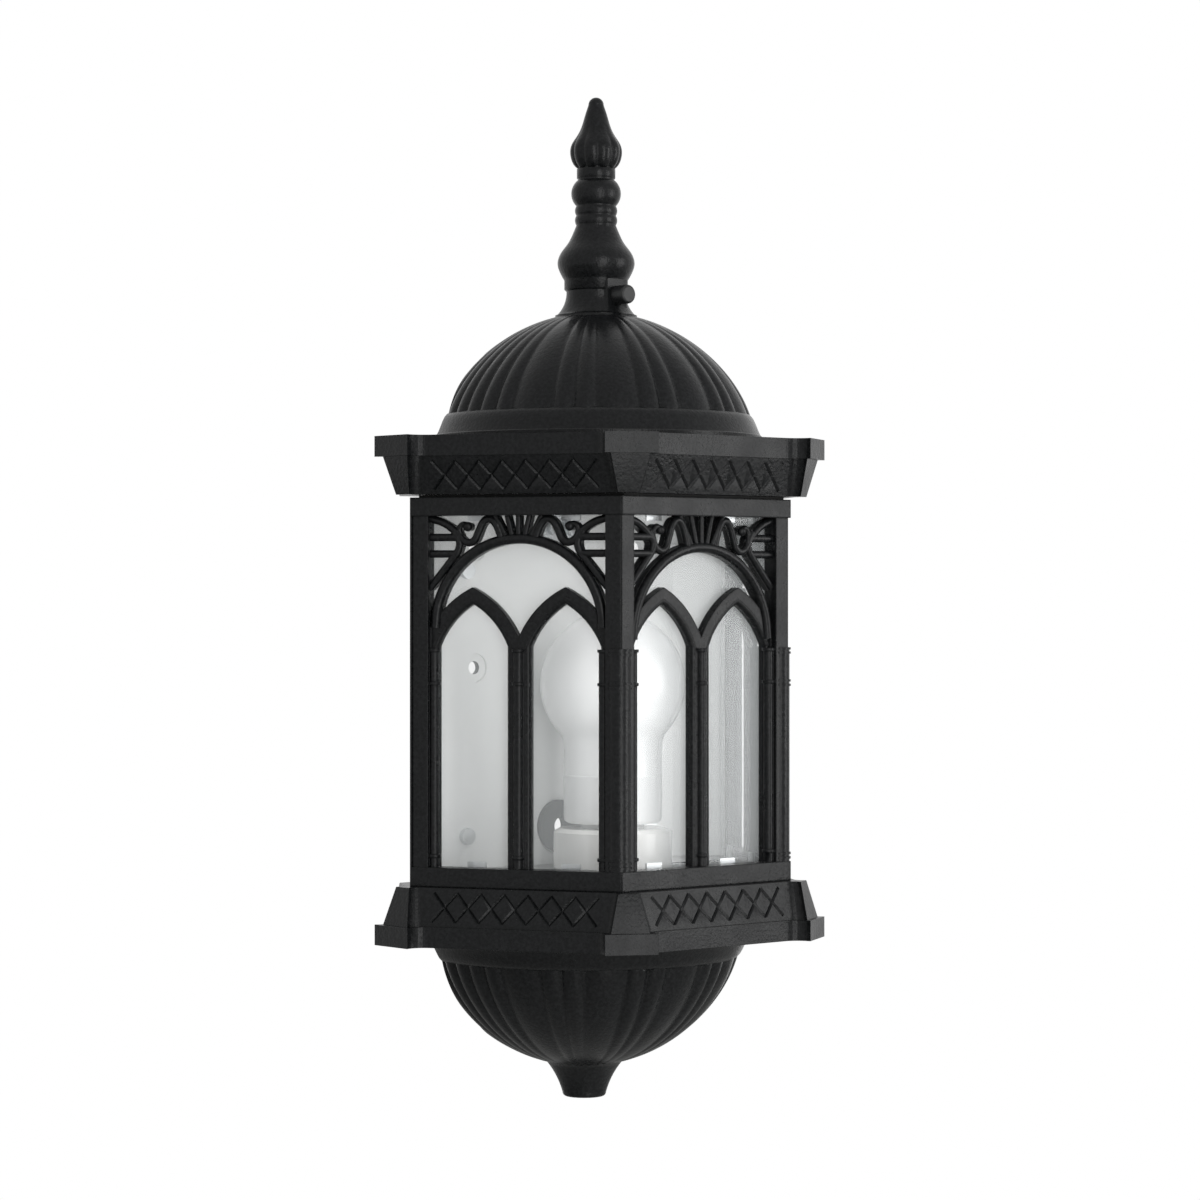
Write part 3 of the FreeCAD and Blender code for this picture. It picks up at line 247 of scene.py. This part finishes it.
@dataclass(frozen=True)
class Mottled:
    """A plain finish whose colour and gloss drift a little over the surface."""

    name: str
    dark: str
    pale: str
    roughness: tuple[float, float]
    blotch_mm: float
    bump_mm: float = 0.0
    metallic: float = 0.0
    specular: float = 0.5
    stretch: tuple[float, float, float] = (1.0, 1.0, 1.0)
    detail: float = 3.0

    def material(self) -> bpy.types.Material:
        """Return the finish's material."""
        material, tree, shader = blank_material(self.name)
        place = add_node(tree, "ShaderNodeTexCoord").outputs["Object"]
        drawn = add_node(tree, "ShaderNodeMapping", values={"Scale": self.stretch},
                         links={"Vector": place})
        blotch = add_node(tree, "ShaderNodeTexNoise", values={
            "Scale": 1 / (self.blotch_mm * MM), "Detail": self.detail},
            links={"Vector": drawn.outputs["Vector"]})
        colour = add_node(tree, "ShaderNodeMix", {"data_type": "RGBA"}, {
            "A": linear(self.dark), "B": linear(self.pale)}, {"Factor": blotch.outputs["Fac"]})
        gloss = add_node(tree, "ShaderNodeMapRange", values={
            "To Min": self.roughness[0], "To Max": self.roughness[1]},
            links={"Value": blotch.outputs["Fac"]})
        tree.links.new(colour.outputs["Result"], shader.inputs["Base Color"])
        tree.links.new(gloss.outputs["Result"], shader.inputs["Roughness"])
        shader.inputs["Metallic"].default_value = self.metallic
        if not self.metallic:
            shader.inputs["Specular IOR Level"].default_value = self.specular
        if self.bump_mm:
            bump = add_node(tree, "ShaderNodeBump", values={
                "Strength": 1.0, "Distance": self.bump_mm * MM},
                links={"Height": blotch.outputs["Fac"]})
            tree.links.new(bump.outputs["Normal"], shader.inputs["Normal"])
        return material


FINISHES = {
    Slot.CASTING: PowderCoat(),
    # Blackened steel screws: a little smoother than the castings
    Slot.SCREW: Mottled("blackened_steel", "#141415", "#202122", (0.35, 0.5), blotch_mm=1.5,
                        bump_mm=0.02, specular=0.3),
    Slot.GLASS: FloatGlass(),
    # White stoved paint on sheet steel: even, with a soft sheen
    Slot.SHEET: Mottled("white_painted_steel", "#ECEDEC", "#F6F7F6", (0.32, 0.45), blotch_mm=22.0,
                        bump_mm=0.01),
    # Bright zinc plate: pale metal with fine drawn lines along the strip
    Slot.STEEL: Mottled("zinc_plated_steel", "#C2C5C7", "#DCDFE0", (0.25, 0.42), blotch_mm=2.0,
                        bump_mm=0.004, metallic=1.0, stretch=(1.0, 1.0, 0.15)),
    # Moulded rubber: dull, slightly bloomed black
    Slot.RUBBER: Mottled("moulded_rubber", "#161616", "#222221", (0.7, 0.85), blotch_mm=3.0,
                         bump_mm=0.02, specular=0.3),
    # Glazed porcelain: warm white with a clear gloss
    Slot.CERAMIC: Mottled("glazed_porcelain", "#EFEEEA", "#F7F6F3", (0.1, 0.18), blotch_mm=9.0,
                          bump_mm=0.01),
    # Opal lamp glass: bright, smooth white
    Slot.LAMP: Mottled("opal_lamp_glass", "#F3F4F4", "#FAFAFA", (0.16, 0.24), blotch_mm=16.0),
}
# The castings' coat where a node has narrow edges that aren't rounded in its shape
EDGE_COAT = PowderCoat("powder_coated_aluminium_edges", edge_mm=0.9)


class Finisher:
    """Makes each finish once and dresses pieces with it."""

    def __init__(self) -> None:
        """Make the materials."""
        self.materials = {slot: finish.material() for slot, finish in FINISHES.items()}
        self.edge_coat = EDGE_COAT.material()

    def dress_node(self, name: str, slot: Slot) -> None:
        """Give a frame node its finish.

        Args:
            name: Node of the frame.
            slot: Slot whose finish it gets.
        """
        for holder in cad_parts[name].material_slots:
            holder.link = "OBJECT"
            holder.material = self.materials[slot]
        LOG.info("node %s: %s", name, slot.value)

    def add_piece(self, name: str, mesh: bmesh.types.BMesh, body: Body, slot: Slot,
                  stands_for: tuple[str, ...] = (), lining: Slot | None = None,
                  coat: bpy.types.Material | None = None, sharp: float = SHARP_ANGLE) -> None:
        """Turn a finished mesh into a piece that rides on a body.

        Args:
            name: Name of the piece.
            mesh: Its shape, at its place in the frame; it is freed.
            body: Body that it rides on.
            slot: Slot of its finish.
            stands_for: Frame nodes that it replaces.
            lining: Slot of a second finish, on the faces that the mesh gives to it.
            coat: Variant of the slot's finish, where the piece has one.
            sharp: Edges that turn more than this are shaded as edges.
        """
        data = bpy.data.meshes.new(name)
        mesh.to_mesh(data)
        mesh.free()
        data.shade_smooth()
        data.set_sharp_from_angle(angle=sharp)
        data.materials.append(coat or self.materials[slot])
        if lining:
            data.materials.append(self.materials[lining])
        piece = bpy.data.objects.new(name, data)
        bpy.context.scene.collection.objects.link(piece)
        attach(piece, body.value)
        if stands_for:
            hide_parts(*stands_for)
        LOG.info("piece %s: %d faces on %s", name, len(data.polygons), body.value)


def merged_copy(name: str) -> bmesh.types.BMesh:
    """Copy a frame node's mesh, with its corners merged and its flat faces joined.

    Args:
        name: Node of the frame.

    Returns:
        The copy.
    """
    mesh = bmesh.new()
    mesh.from_mesh(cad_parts[name].data)
    bmesh.ops.remove_doubles(mesh, verts=mesh.verts, dist=MERGE_DISTANCE)
    bmesh.ops.dissolve_limit(mesh, angle_limit=FLAT_ANGLE, verts=mesh.verts, edges=mesh.edges)
    return mesh


def soften(mesh: bmesh.types.BMesh, radius: float, segments: int, crease: float) -> None:
    """Round the sharp outer edges of a shape, as a mould and a thick coat leave them.

    Args:
        mesh: Shape to soften.
        radius: Radius of the rounding.
        segments: Faces across the rounding.
        crease: Least turn of an edge that is rounded.
    """
    edges = [e for e in mesh.edges if e.is_convex and e.calc_face_angle() > crease]
    bmesh.ops.bevel(mesh, geom=edges, offset=radius, offset_type="OFFSET", affect="EDGES",
                    segments=segments, profile=0.5, material=-1, clamp_overlap=True)


@dataclass
class Castings:
    """Black castings of the frame, with the long edges of the heavy ones rounded."""

    edge_radius: float = 0.9 * MM
    edge_segments: int = 3
    # Turns sharper than the lattice's grooves
    crease: float = math.radians(55)
    heavy: dict[str, Body] = field(default_factory=lambda: {
        "lower_cornice": Body.LANTERN, "upper_cornice": Body.ROOF})
    smooth: dict[str, Body] = field(default_factory=lambda: {
        "bowl": Body.LANTERN, "roof_dome": Body.ROOF, "finial": Body.ROOF,
        "thumbscrew": Body.THUMBSCREW})
    panels: tuple[str, ...] = ("front_panel", "left_panel", "right_panel")
    tray: str = "back_housing"

    def build(self, finisher: Finisher) -> None:
        """Copy each casting; round the edges of the heavy ones in their shape, and of the panels
        and tray by their coat.

        Args:
            finisher: Dresses the copies.
        """
        for name, body in self.heavy.items():
            mesh = merged_copy(name)
            soften(mesh, self.edge_radius, self.edge_segments, self.crease)
            finisher.add_piece(name + "_cast", mesh, body, Slot.CASTING, (name,),
                               sharp=GROOVE_ANGLE)
        for name, body in self.smooth.items():
            slot = Slot.SCREW if body is Body.THUMBSCREW else Slot.CASTING
            finisher.add_piece(name + "_cast", merged_copy(name), body, slot, (name,))
        for name in self.panels:
            finisher.add_piece(name + "_cast", merged_copy(name), Body.LANTERN, Slot.CASTING,
                               (name,), coat=finisher.edge_coat)
        finisher.add_piece(self.tray + "_cast", self.painted_tray(), Body.LANTERN, Slot.CASTING,
                           (self.tray,), Slot.SHEET, finisher.edge_coat)

    def painted_tray(self) -> bmesh.types.BMesh:
        """Return the back tray with its inner faces marked for the chamber's white paint."""
        mesh = merged_copy(self.tray)
        low, high = (Vector(corner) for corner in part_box(self.tray))
        heart = (low + high) / 2
        for face in mesh.faces:
            if face.normal.dot(heart - face.calc_center_median()) > 0:
                face.material_index = 1
        return mesh


@dataclass(frozen=True)
class Collar:
    """Smooth moulding that the flutes of a half dome run into, open towards the wall."""

    name: str
    body: Body
    axis_depth: float
    # Radius and height of each point of the moulding's section
    section: Points
    wall_gap: float = 0.6 * MM
    steps: int = 120

    def build(self, finisher: Finisher) -> None:
        """Sweep the section round the axis, from wall to wall.

        Args:
            finisher: Dresses the moulding.
        """
        widest = max(radius for radius, _ in self.section)
        behind = math.asin((-self.axis_depth - self.wall_gap) / widest)
        mesh = bmesh.new()
        centre = Vector((0, self.axis_depth, 0))
        start = Vector((math.cos(behind), math.sin(behind), 0))
        corners = [mesh.verts.new(centre + start * radius + Vector((0, 0, height)))
                   for radius, height in self.section]
        edges = [mesh.edges.new(pair) for pair in zip(corners, corners[1:] + corners[:1])]
        bmesh.ops.spin(mesh, geom=corners + edges, cent=centre, axis=(0, 0, -1),
                       angle=math.pi + 2 * behind, steps=self.steps)
        bmesh.ops.holes_fill(mesh, edges=[e for e in mesh.edges if e.is_boundary])
        bmesh.ops.recalc_face_normals(mesh, faces=mesh.faces)
        finisher.add_piece(self.name, mesh, self.body, Slot.CASTING)


COLLARS = (
    Collar("dome_collar", Body.ROOF, -27.5 * MM, from_mm((
        (60.0, 79.9), (62.6, 79.8), (64.0, 79.2), (65.1, 78.0), (66.0, 76.2), (66.9, 74.0),
        (67.8, 71.8), (68.6, 70.3), (68.2, 69.2), (60.0, 69.2)))),
    Collar("bowl_collar", Body.LANTERN, -20.0 * MM, from_mm((
        (60.0, -145.4), (62.6, -145.3), (64.0, -144.7), (65.1, -143.6), (66.0, -142.0),
        (66.9, -140.2), (67.8, -138.5), (68.6, -137.3), (68.2, -136.4), (60.0, -136.4)))),
)


@dataclass
class CornerShafts:
    """Round shafts with rings in the two front corners of the lantern."""

    corners: Points = from_mm(((-43.4, -91.5), (43.4, -91.5)))
    radius: float = 4.5 * MM
    foot: float = -104.0 * MM
    head: float = -16.4 * MM
    ring_radius: float = 5.0 * MM
    ring_height: float = 0.9 * MM
    rings: tuple[float, ...] = (
        -102.4 * MM, -100.6 * MM, -31.8 * MM, -30.0 * MM, -18.6 * MM, -16.9 * MM)
    segments: int = 40

    def build(self, finisher: Finisher) -> None:
        """Turn the shafts and their rings.

        Args:
            finisher: Dresses the shafts.
        """
        mesh = bmesh.new()
        for corner in self.corners:
            self.drum(mesh, corner, self.radius, self.foot, self.head)
            for level in self.rings:
                self.drum(mesh, corner, self.ring_radius, level - self.ring_height / 2,
                          level + self.ring_height / 2)
        finisher.add_piece("corner_shafts", mesh, Body.LANTERN, Slot.CASTING)

    def drum(self, mesh: bmesh.types.BMesh, corner: tuple[float, float], radius: float, low: float,
             high: float) -> None:
        """Add one upright drum.

        Args:
            mesh: Shape that gets it.
            corner: Its axis.
            radius: Its radius.
            low: Height of its foot.
            high: Height of its head.
        """
        place = Matrix.Translation((*corner, (low + high) / 2))
        bmesh.ops.create_cone(mesh, cap_ends=True, segments=self.segments, radius1=radius,
                              radius2=radius, depth=high - low, matrix=place)


@dataclass
class GlobeLamp:
    """Globe lamp with its straight collar, turned in one piece."""

    axis_depth: float = -38.0 * MM
    centre: float = -31.5 * MM
    radius: float = 30.0 * MM
    globe_steps: int = 24
    # Radius and height below the globe: fillet, collar with its seam, rounded foot and screw cap
    stem: Points = from_mm((
        (20.9, -54.6), (20.3, -56.2), (20.2, -69.0), (20.5, -69.3), (20.5, -69.9), (20.4, -70.2),
        (20.3, -86.6), (19.9, -88.0), (18.8, -88.9), (13.0, -89.0), (13.0, -103.4), (0.0, -103.4)))
    steps: int = 64

    def build(self, finisher: Finisher) -> None:
        """Turn the lamp round its axis.

        Args:
            finisher: Dresses the lamp.
        """
        last = math.acos((self.stem[0][1] - self.centre) / self.radius)
        turns = [last * step / self.globe_steps for step in range(self.globe_steps)]
        run = [(self.radius * math.sin(turn), self.centre + self.radius * math.cos(turn))
               for turn in turns]
        mesh = bmesh.new()
        corners = [mesh.verts.new((out, self.axis_depth, up)) for out, up in (*run, *self.stem)]
        edges = [mesh.edges.new(pair) for pair in zip(corners, corners[1:])]
        bmesh.ops.spin(mesh, geom=corners + edges, cent=(0, self.axis_depth, 0), axis=(0, 0, 1),
                       angle=math.tau, steps=self.steps, use_merge=True)
        bmesh.ops.remove_doubles(mesh, verts=mesh.verts, dist=MERGE_DISTANCE)
        bmesh.ops.recalc_face_normals(mesh, faces=mesh.faces)
        finisher.add_piece("globe_lamp", mesh, Body.LANTERN, Slot.LAMP, ("bulb",))


@dataclass(frozen=True)
class PanelPlace:
    """Where a tracery panel stands, and how tall its arch is."""

    name: str
    half_opening: float
    arch_top: float
    spot: tuple[float, float]
    turn: float

    def matrix(self) -> Matrix:
        """Return the panel's place in the frame."""
        turned = Matrix.Rotation(math.radians(self.turn), 4, "Z")
        return Matrix.Translation((*self.spot, 0)) @ turned


@dataclass
class Scrollwork:
    """Round rolls on the bars over each arch: fan, waves, hooks, brackets and the arch itself.

    Each run is given in shares of the half opening, and of its drop from the rail.
    """

    face: float = 4.3 * MM
    rail: float = 36.5 * MM
    arch_bar: float = 4.0 * MM
    roll_radius: float = 1.6 * MM
    fan_radius: float = 1.2 * MM
    arch_radius: float = 2.1 * MM
    ball_radius: float = 2.0 * MM
    # Beads in the steps round the lancets
    bead_radius: float = 1.4 * MM
    bead_depth: float = 5.4 * MM
    bead_step: float = 1.5 * MM
    sill: float = -103.9 * MM
    spring: float = -15.6 * MM
    rise: float = 16.8 * MM
    bulge: float = 1.85 * MM
    jamb: float = 3.2 * MM
    mullion: float = 10.0 * MM
    head_points: int = 7
    prong_drops: tuple[float, float] = (8.6 * MM, 15.2 * MM)
    tail_drop: float = 28.5 * MM
    ribs: tuple[float, ...] = (-1, -0.5, 0, 0.5, 1)
    fan_root: float = 0.13
    fan_spread: float = math.radians(28)
    valley: float = 0.55
    valley_lift: float = 2.2 * MM
    arch_points: int = 15
    # Corners of a roll's half section, steps between two of its points, and fineness of the balls
    roll_resolution: int = 3
    run_resolution: int = 5
    ball_subdivisions: int = 2
    wave: Points = (
        (1, 0.09), (0.84, 0.27), (0.7, 0.6), (0.6, 0.93), (0.52, 0.93), (0.45, 0.56), (0.405, 0.26),
        (0.36, 0.13), (0.31, 0.13), (0.265, 0.26), (0.22, 0.56), (0.19, 0.84))
    hook: Points = ((0.575, 0.39), (0.62, 0.3), (0.67, 0.44), (0.66, 0.68))
    bracket: Points = (
        (0.73, 0.215), (0.67, 0.348), (0.68, 0.475), (0.77, 0.636), (0.88, 0.813), (1, 1))
    prong_ends: tuple[float, float] = (0.69, 0.7)
    panels: tuple[PanelPlace, ...] = (
        PanelPlace("front", 38.7 * MM, 26.0 * MM, (0.0, -96.0 * MM), 0),
        PanelPlace("left", 37.45 * MM, 29.3 * MM, (-68.375 * MM, -57.246 * MM), -60),
        PanelPlace("right", 37.45 * MM, 29.3 * MM, (68.375 * MM, -57.246 * MM), 60))

    def build(self, finisher: Finisher) -> None:
        """Lay the rolls on each panel.

        Args:
            finisher: Dresses the rolls.
        """
        for panel in self.panels:
            mesh = bmesh.new()
            self.fan(mesh, panel)
            self.arch(mesh, panel)
            for hand in (-panel.half_opening, panel.half_opening):
                self.scrolls(mesh, panel, hand)
                self.beads(mesh, panel, hand)
            bmesh.ops.transform(mesh, matrix=panel.matrix(), verts=mesh.verts)
            finisher.add_piece(panel.name + "_scrollwork", mesh, Body.LANTERN, Slot.CASTING)

    def fan(self, mesh: bmesh.types.BMesh, panel: PanelPlace) -> None:
        """Add the ribs over the crown of the arch.

        Args:
            mesh: Shape that gets them.
            panel: Panel that they stand on.
        """
        root = panel.arch_top - self.arch_bar / 2
        for rib in self.ribs:
            across = self.fan_root * panel.half_opening * rib
            lean = (self.rail - root) * math.tan(self.fan_spread * rib)
            self.roll(mesh, [(across, root), (across + lean, self.rail)], self.fan_radius)

    def arch(self, mesh: bmesh.types.BMesh, panel: PanelPlace) -> None:
        """Add the roll along the arch, its feet run into the posts.

        Args:
            mesh: Shape that gets it.
            panel: Panel that it stands on.
        """
        centre = panel.arch_top - panel.half_opening
        radius = panel.half_opening - self.arch_bar / 2
        points = []
        for step in range(self.arch_points):
            turn = math.pi * step / (self.arch_points - 1)
            points.append((radius * math.cos(turn), centre + radius * math.sin(turn)))
        self.roll(mesh, points, self.arch_radius)

    def scrolls(self, mesh: bmesh.types.BMesh, panel: PanelPlace, hand: float) -> None:
        """Add one side's wave, hook, bracket and prongs.

        Args:
            mesh: Shape that gets them.
            panel: Panel that they stand on.
            hand: Half opening, negative for the left side.
        """
        centre = panel.arch_top - panel.half_opening
        rise = math.sqrt(panel.half_opening ** 2 - (self.valley * panel.half_opening) ** 2)
        fall = self.rail - (centre + rise + self.valley_lift)
        wave = [(hand * across, self.rail - down * fall) for across, down in self.wave]
        hook = [(hand * across, self.rail - down * fall) for across, down in self.hook]
        bracket = [(hand * across, self.rail - down * self.tail_drop)
                   for across, down in self.bracket]
        self.roll(mesh, wave, self.roll_radius)
        self.roll(mesh, hook, self.fan_radius)
        self.roll(mesh, bracket, self.roll_radius)
        for end, drop in zip(self.prong_ends, self.prong_drops):
            level = self.rail - drop
            self.roll(mesh, [(hand, level), (hand * end, level)], self.roll_radius)
        bmesh.ops.create_icosphere(mesh, subdivisions=self.ball_subdivisions,
                                   radius=self.ball_radius,
                                   matrix=Matrix.Translation((hook[0][0], self.face, hook[0][1])))

    def beads(self, mesh: bmesh.types.BMesh, panel: PanelPlace, hand: float) -> None:
        """Add the beads up both jambs and round the head of one lancet.

        Args:
            mesh: Shape that gets them.
            panel: Panel that they stand on.
            hand: Half opening, negative for the left lancet.
        """
        half = (panel.half_opening - self.jamb - self.mullion / 2) / 2
        centre = math.copysign(self.mullion / 2 + half, hand)
        chord = math.hypot(half, self.rise)
        radius = ((chord / 2) ** 2 + self.bulge ** 2) / (2 * self.bulge)
        share = (radius - self.bulge) / chord
        focus = Vector((half / 2 - self.rise * share, self.spring + self.rise / 2 - half * share))
        reach = radius + self.bead_step
        first = math.asin((self.spring - focus.y) / reach)
        last = math.acos(-focus.x / reach)
        turns = [first + (last - first) * step / (self.head_points - 1)
                 for step in range(self.head_points)]
        head = [(focus.x + reach * math.cos(turn), focus.y + reach * math.sin(turn))
                for turn in turns]
        for side in (-1, 1):
            foot = (centre + side * (half + self.bead_step), self.sill)
            bend = [(centre + side * across, up) for across, up in head]
            self.roll(mesh, [foot, bend[0]], self.bead_radius, self.bead_depth)
            self.roll(mesh, bend, self.bead_radius, self.bead_depth)

    def roll(self, mesh: bmesh.types.BMesh, points: list[tuple[float, float]], radius: float,
             depth: float | None = None) -> None:
        """Add a round roll along a smooth run in the panel's face.

        Args:
            mesh: Shape that gets the roll.
            points: Places across and up that the run goes through.
            radius: Radius of the roll.
            depth: How far the roll's middle lies behind the panel's face, where not on the scrolls.
        """
        line = bpy.data.curves.new("roll", "CURVE")
        line.dimensions = "3D"
        line.bevel_depth = radius
        line.bevel_resolution = self.roll_resolution
        line.resolution_u = self.run_resolution
        line.use_fill_caps = True
        spline = line.splines.new("BEZIER")
        spline.bezier_points.add(len(points) - 1)
        for knot, (across, up) in zip(spline.bezier_points, points):
            knot.co = (across, depth or self.face, up)
            knot.handle_left_type = "AUTO"
            knot.handle_right_type = "AUTO"
        holder = bpy.data.objects.new("roll", line)
        bpy.context.scene.collection.objects.link(holder)
        view = bpy.context.evaluated_depsgraph_get()
        tube = bpy.data.meshes.new_from_object(holder.evaluated_get(view))
        mesh.from_mesh(tube)
        bpy.data.objects.remove(holder)
        bpy.data.curves.remove(line)
        bpy.data.meshes.remove(tube)


@dataclass
class InnerParts:
    """Panes, and what the lantern holds behind them: holder, liner, floor, brackets, fasteners."""

    slots: dict[str, Slot] = field(default_factory=lambda: {
        "front_glass": Slot.GLASS, "left_glass": Slot.GLASS, "right_glass": Slot.GLASS,
        # The floor tray wears the black casting coat instead of white paint: painted shade that
        # darkens the foot of the chamber behind the panes
        "glass_clips": Slot.STEEL, "reflector": Slot.SHEET, "floor_tray": Slot.CASTING,
        "lamp_bracket": Slot.STEEL, "roof_post": Slot.STEEL, "lamp_holder": Slot.CERAMIC,
        "terminal_block": Slot.CERAMIC, "cable_grommet": Slot.RUBBER,
        "roof_gasket": Slot.RUBBER, "reflector_screws": Slot.STEEL, "bracket_screws": Slot.STEEL,
        "post_screws": Slot.STEEL, "bowl_screws": Slot.STEEL, "roof_screws": Slot.STEEL})

    def build(self, finisher: Finisher) -> None:
        """Dress the nodes that keep their own shape.

        Args:
            finisher: Dresses the nodes.
        """
        for name, slot in self.slots.items():
            finisher.dress_node(name, slot)


@dataclass(frozen=True)
class Softbox:
    """Oblong studio light that looks at a point, by default the lantern's middle."""

    name: str
    azimuth: float
    elevation: float
    distance: float
    width: float
    height: float
    watts: float
    aim: tuple[float, float, float] = (0.0, -0.03, 0.003)
    mirrored: bool = True

    def build(self) -> None:
        """Place the light round the point that it looks at."""
        lamp = bpy.data.lights.new(self.name, "AREA")
        lamp.shape = "RECTANGLE"
        lamp.size = self.width
        lamp.size_y = self.height
        lamp.energy = self.watts
        light = bpy.data.objects.new(self.name, lamp)
        light.visible_camera = False
        light.visible_glossy = self.mirrored
        bpy.context.scene.collection.objects.link(light)
        look_at(light, self.aim, direction(self.azimuth, self.elevation), self.distance)


def direction(azimuth: float, elevation: float) -> Vector:
    """Return the unit vector from the lantern to a place round it.

    Args:
        azimuth: Degrees from the front, positive towards +X.
        elevation: Degrees above the horizon.

    Returns:
        The vector.
    """
    turn, lift = math.radians(azimuth), math.radians(elevation)
    level = math.cos(lift)
    return Vector((math.sin(turn) * level, -math.cos(turn) * level, math.sin(lift)))


def look_at(viewer: bpy.types.Object, point: tuple[float, float, float], out: Vector,
            distance: float) -> None:
    """Place a light or camera so that it looks at a point.

    Args:
        viewer: Light or camera.
        point: What it looks at.
        out: Unit vector from the point to it.
        distance: How far from the point it stands.
    """
    viewer.location = Vector(point) + out * distance
    viewer.rotation_euler = (-out).to_track_quat("-Z", "Y").to_euler()


@dataclass
class Studio:
    """Pale floor, white backdrop, soft lights and the photograph's camera."""

    view_azimuth: float = -41.0
    view_distance: float = 1.43
    target: tuple[float, float, float] = (0.0005, -0.0294, 0.0029)
    lens_mm: float = 103.4
    sensor_mm: float = 36.0
    floor_level: float = -0.9
    floor_radius: float = 2.8
    floor_segments: int = 96
    paper: Mottled = Mottled("white_paper", "#E9E9E7", "#F0F0EE", (0.8, 0.9), blotch_mm=300.0,
                             specular=0.1)
    fill: float = 0.35
    lights: tuple[Softbox, ...] = (
        Softbox("key_light", azimuth=38, elevation=4, distance=1.5, width=0.5, height=1.0, watts=8),
        Softbox("corner_light", azimuth=-19, elevation=0, distance=1.4, width=0.55, height=1.6,
                watts=12),
        # Soft light held in the lamp chamber, under the roof and behind the left front corner
        Softbox("chamber_top_light", azimuth=0, elevation=90, distance=0.07, width=0.08,
                height=0.04, watts=0.017, aim=(0.0, -0.045, -0.035), mirrored=False),
        Softbox("chamber_side_light", azimuth=-60, elevation=0, distance=0.05, width=0.012,
                height=0.12, watts=0.021, aim=(0.0, -0.0535, -0.03), mirrored=False),
    )

    def build(self) -> None:
        """Make the camera, the lights, the backdrop and the floor."""
        lens = bpy.data.cameras.new("photo_camera")
        lens.lens = self.lens_mm
        lens.sensor_width = self.sensor_mm
        camera = bpy.data.objects.new("photo_camera", lens)
        bpy.context.scene.collection.objects.link(camera)
        look_at(camera, self.target, direction(self.view_azimuth, 0), self.view_distance)
        bpy.context.scene.camera = camera
        bpy.context.scene.view_settings.view_transform = "Standard"
        for light in self.lights:
            light.build()
        self.backdrop()
        self.floor()

    def backdrop(self) -> None:
        """White behind the lantern and in its reflections, plain grey light from all round."""
        world = bpy.data.worlds.new("white_backdrop")
        bpy.context.scene.world = world
        world.use_nodes = True
        tree = world.node_tree
        tree.nodes.clear()
        path = add_node(tree, "ShaderNodeLightPath")
        seen = add_node(tree, "ShaderNodeMath", {"operation": "MAXIMUM"}, links={
            0: path.outputs["Is Camera Ray"], 1: path.outputs["Is Glossy Ray"]})
        seen = add_node(tree, "ShaderNodeMath", {"operation": "MAXIMUM"}, links={
            0: seen.outputs["Value"], 1: path.outputs["Is Transmission Ray"]})
        white = add_node(tree, "ShaderNodeBackground",
                         values={"Color": (1, 1, 1, 1), "Strength": 1.0})
        light = add_node(tree, "ShaderNodeBackground",
                         values={"Color": (1, 1, 1, 1), "Strength": self.fill})
        mix = add_node(tree, "ShaderNodeMixShader", links={
            0: seen.outputs["Value"], 1: light.outputs["Background"],
            2: white.outputs["Background"]})
        add_node(tree, "ShaderNodeOutputWorld", links={"Surface": mix.outputs["Shader"]})

    def floor(self) -> None:
        """Round pale floor well below the lantern, outside the photograph's view."""
        mesh = bmesh.new()
        bmesh.ops.create_circle(mesh, cap_ends=True, segments=self.floor_segments,
                                radius=self.floor_radius)
        bmesh.ops.translate(mesh, verts=mesh.verts, vec=(0, 0, self.floor_level))
        data = bpy.data.meshes.new("studio_floor")
        mesh.to_mesh(data)
        mesh.free()
        data.materials.append(self.paper.material())
        floor = bpy.data.objects.new("studio_floor", data)
        bpy.context.scene.collection.objects.link(floor)


def main() -> None:
    """Build the lantern's pieces, then the studio round it."""
    logging.basicConfig(level=logging.INFO)
    finisher = Finisher()
    Castings().build(finisher)
    Scrollwork().build(finisher)
    for collar in COLLARS:
        collar.build(finisher)
    CornerShafts().build(finisher)
    GlobeLamp().build(finisher)
    InnerParts().build(finisher)
    Studio().build()


if __name__ == "__main__":
    main()
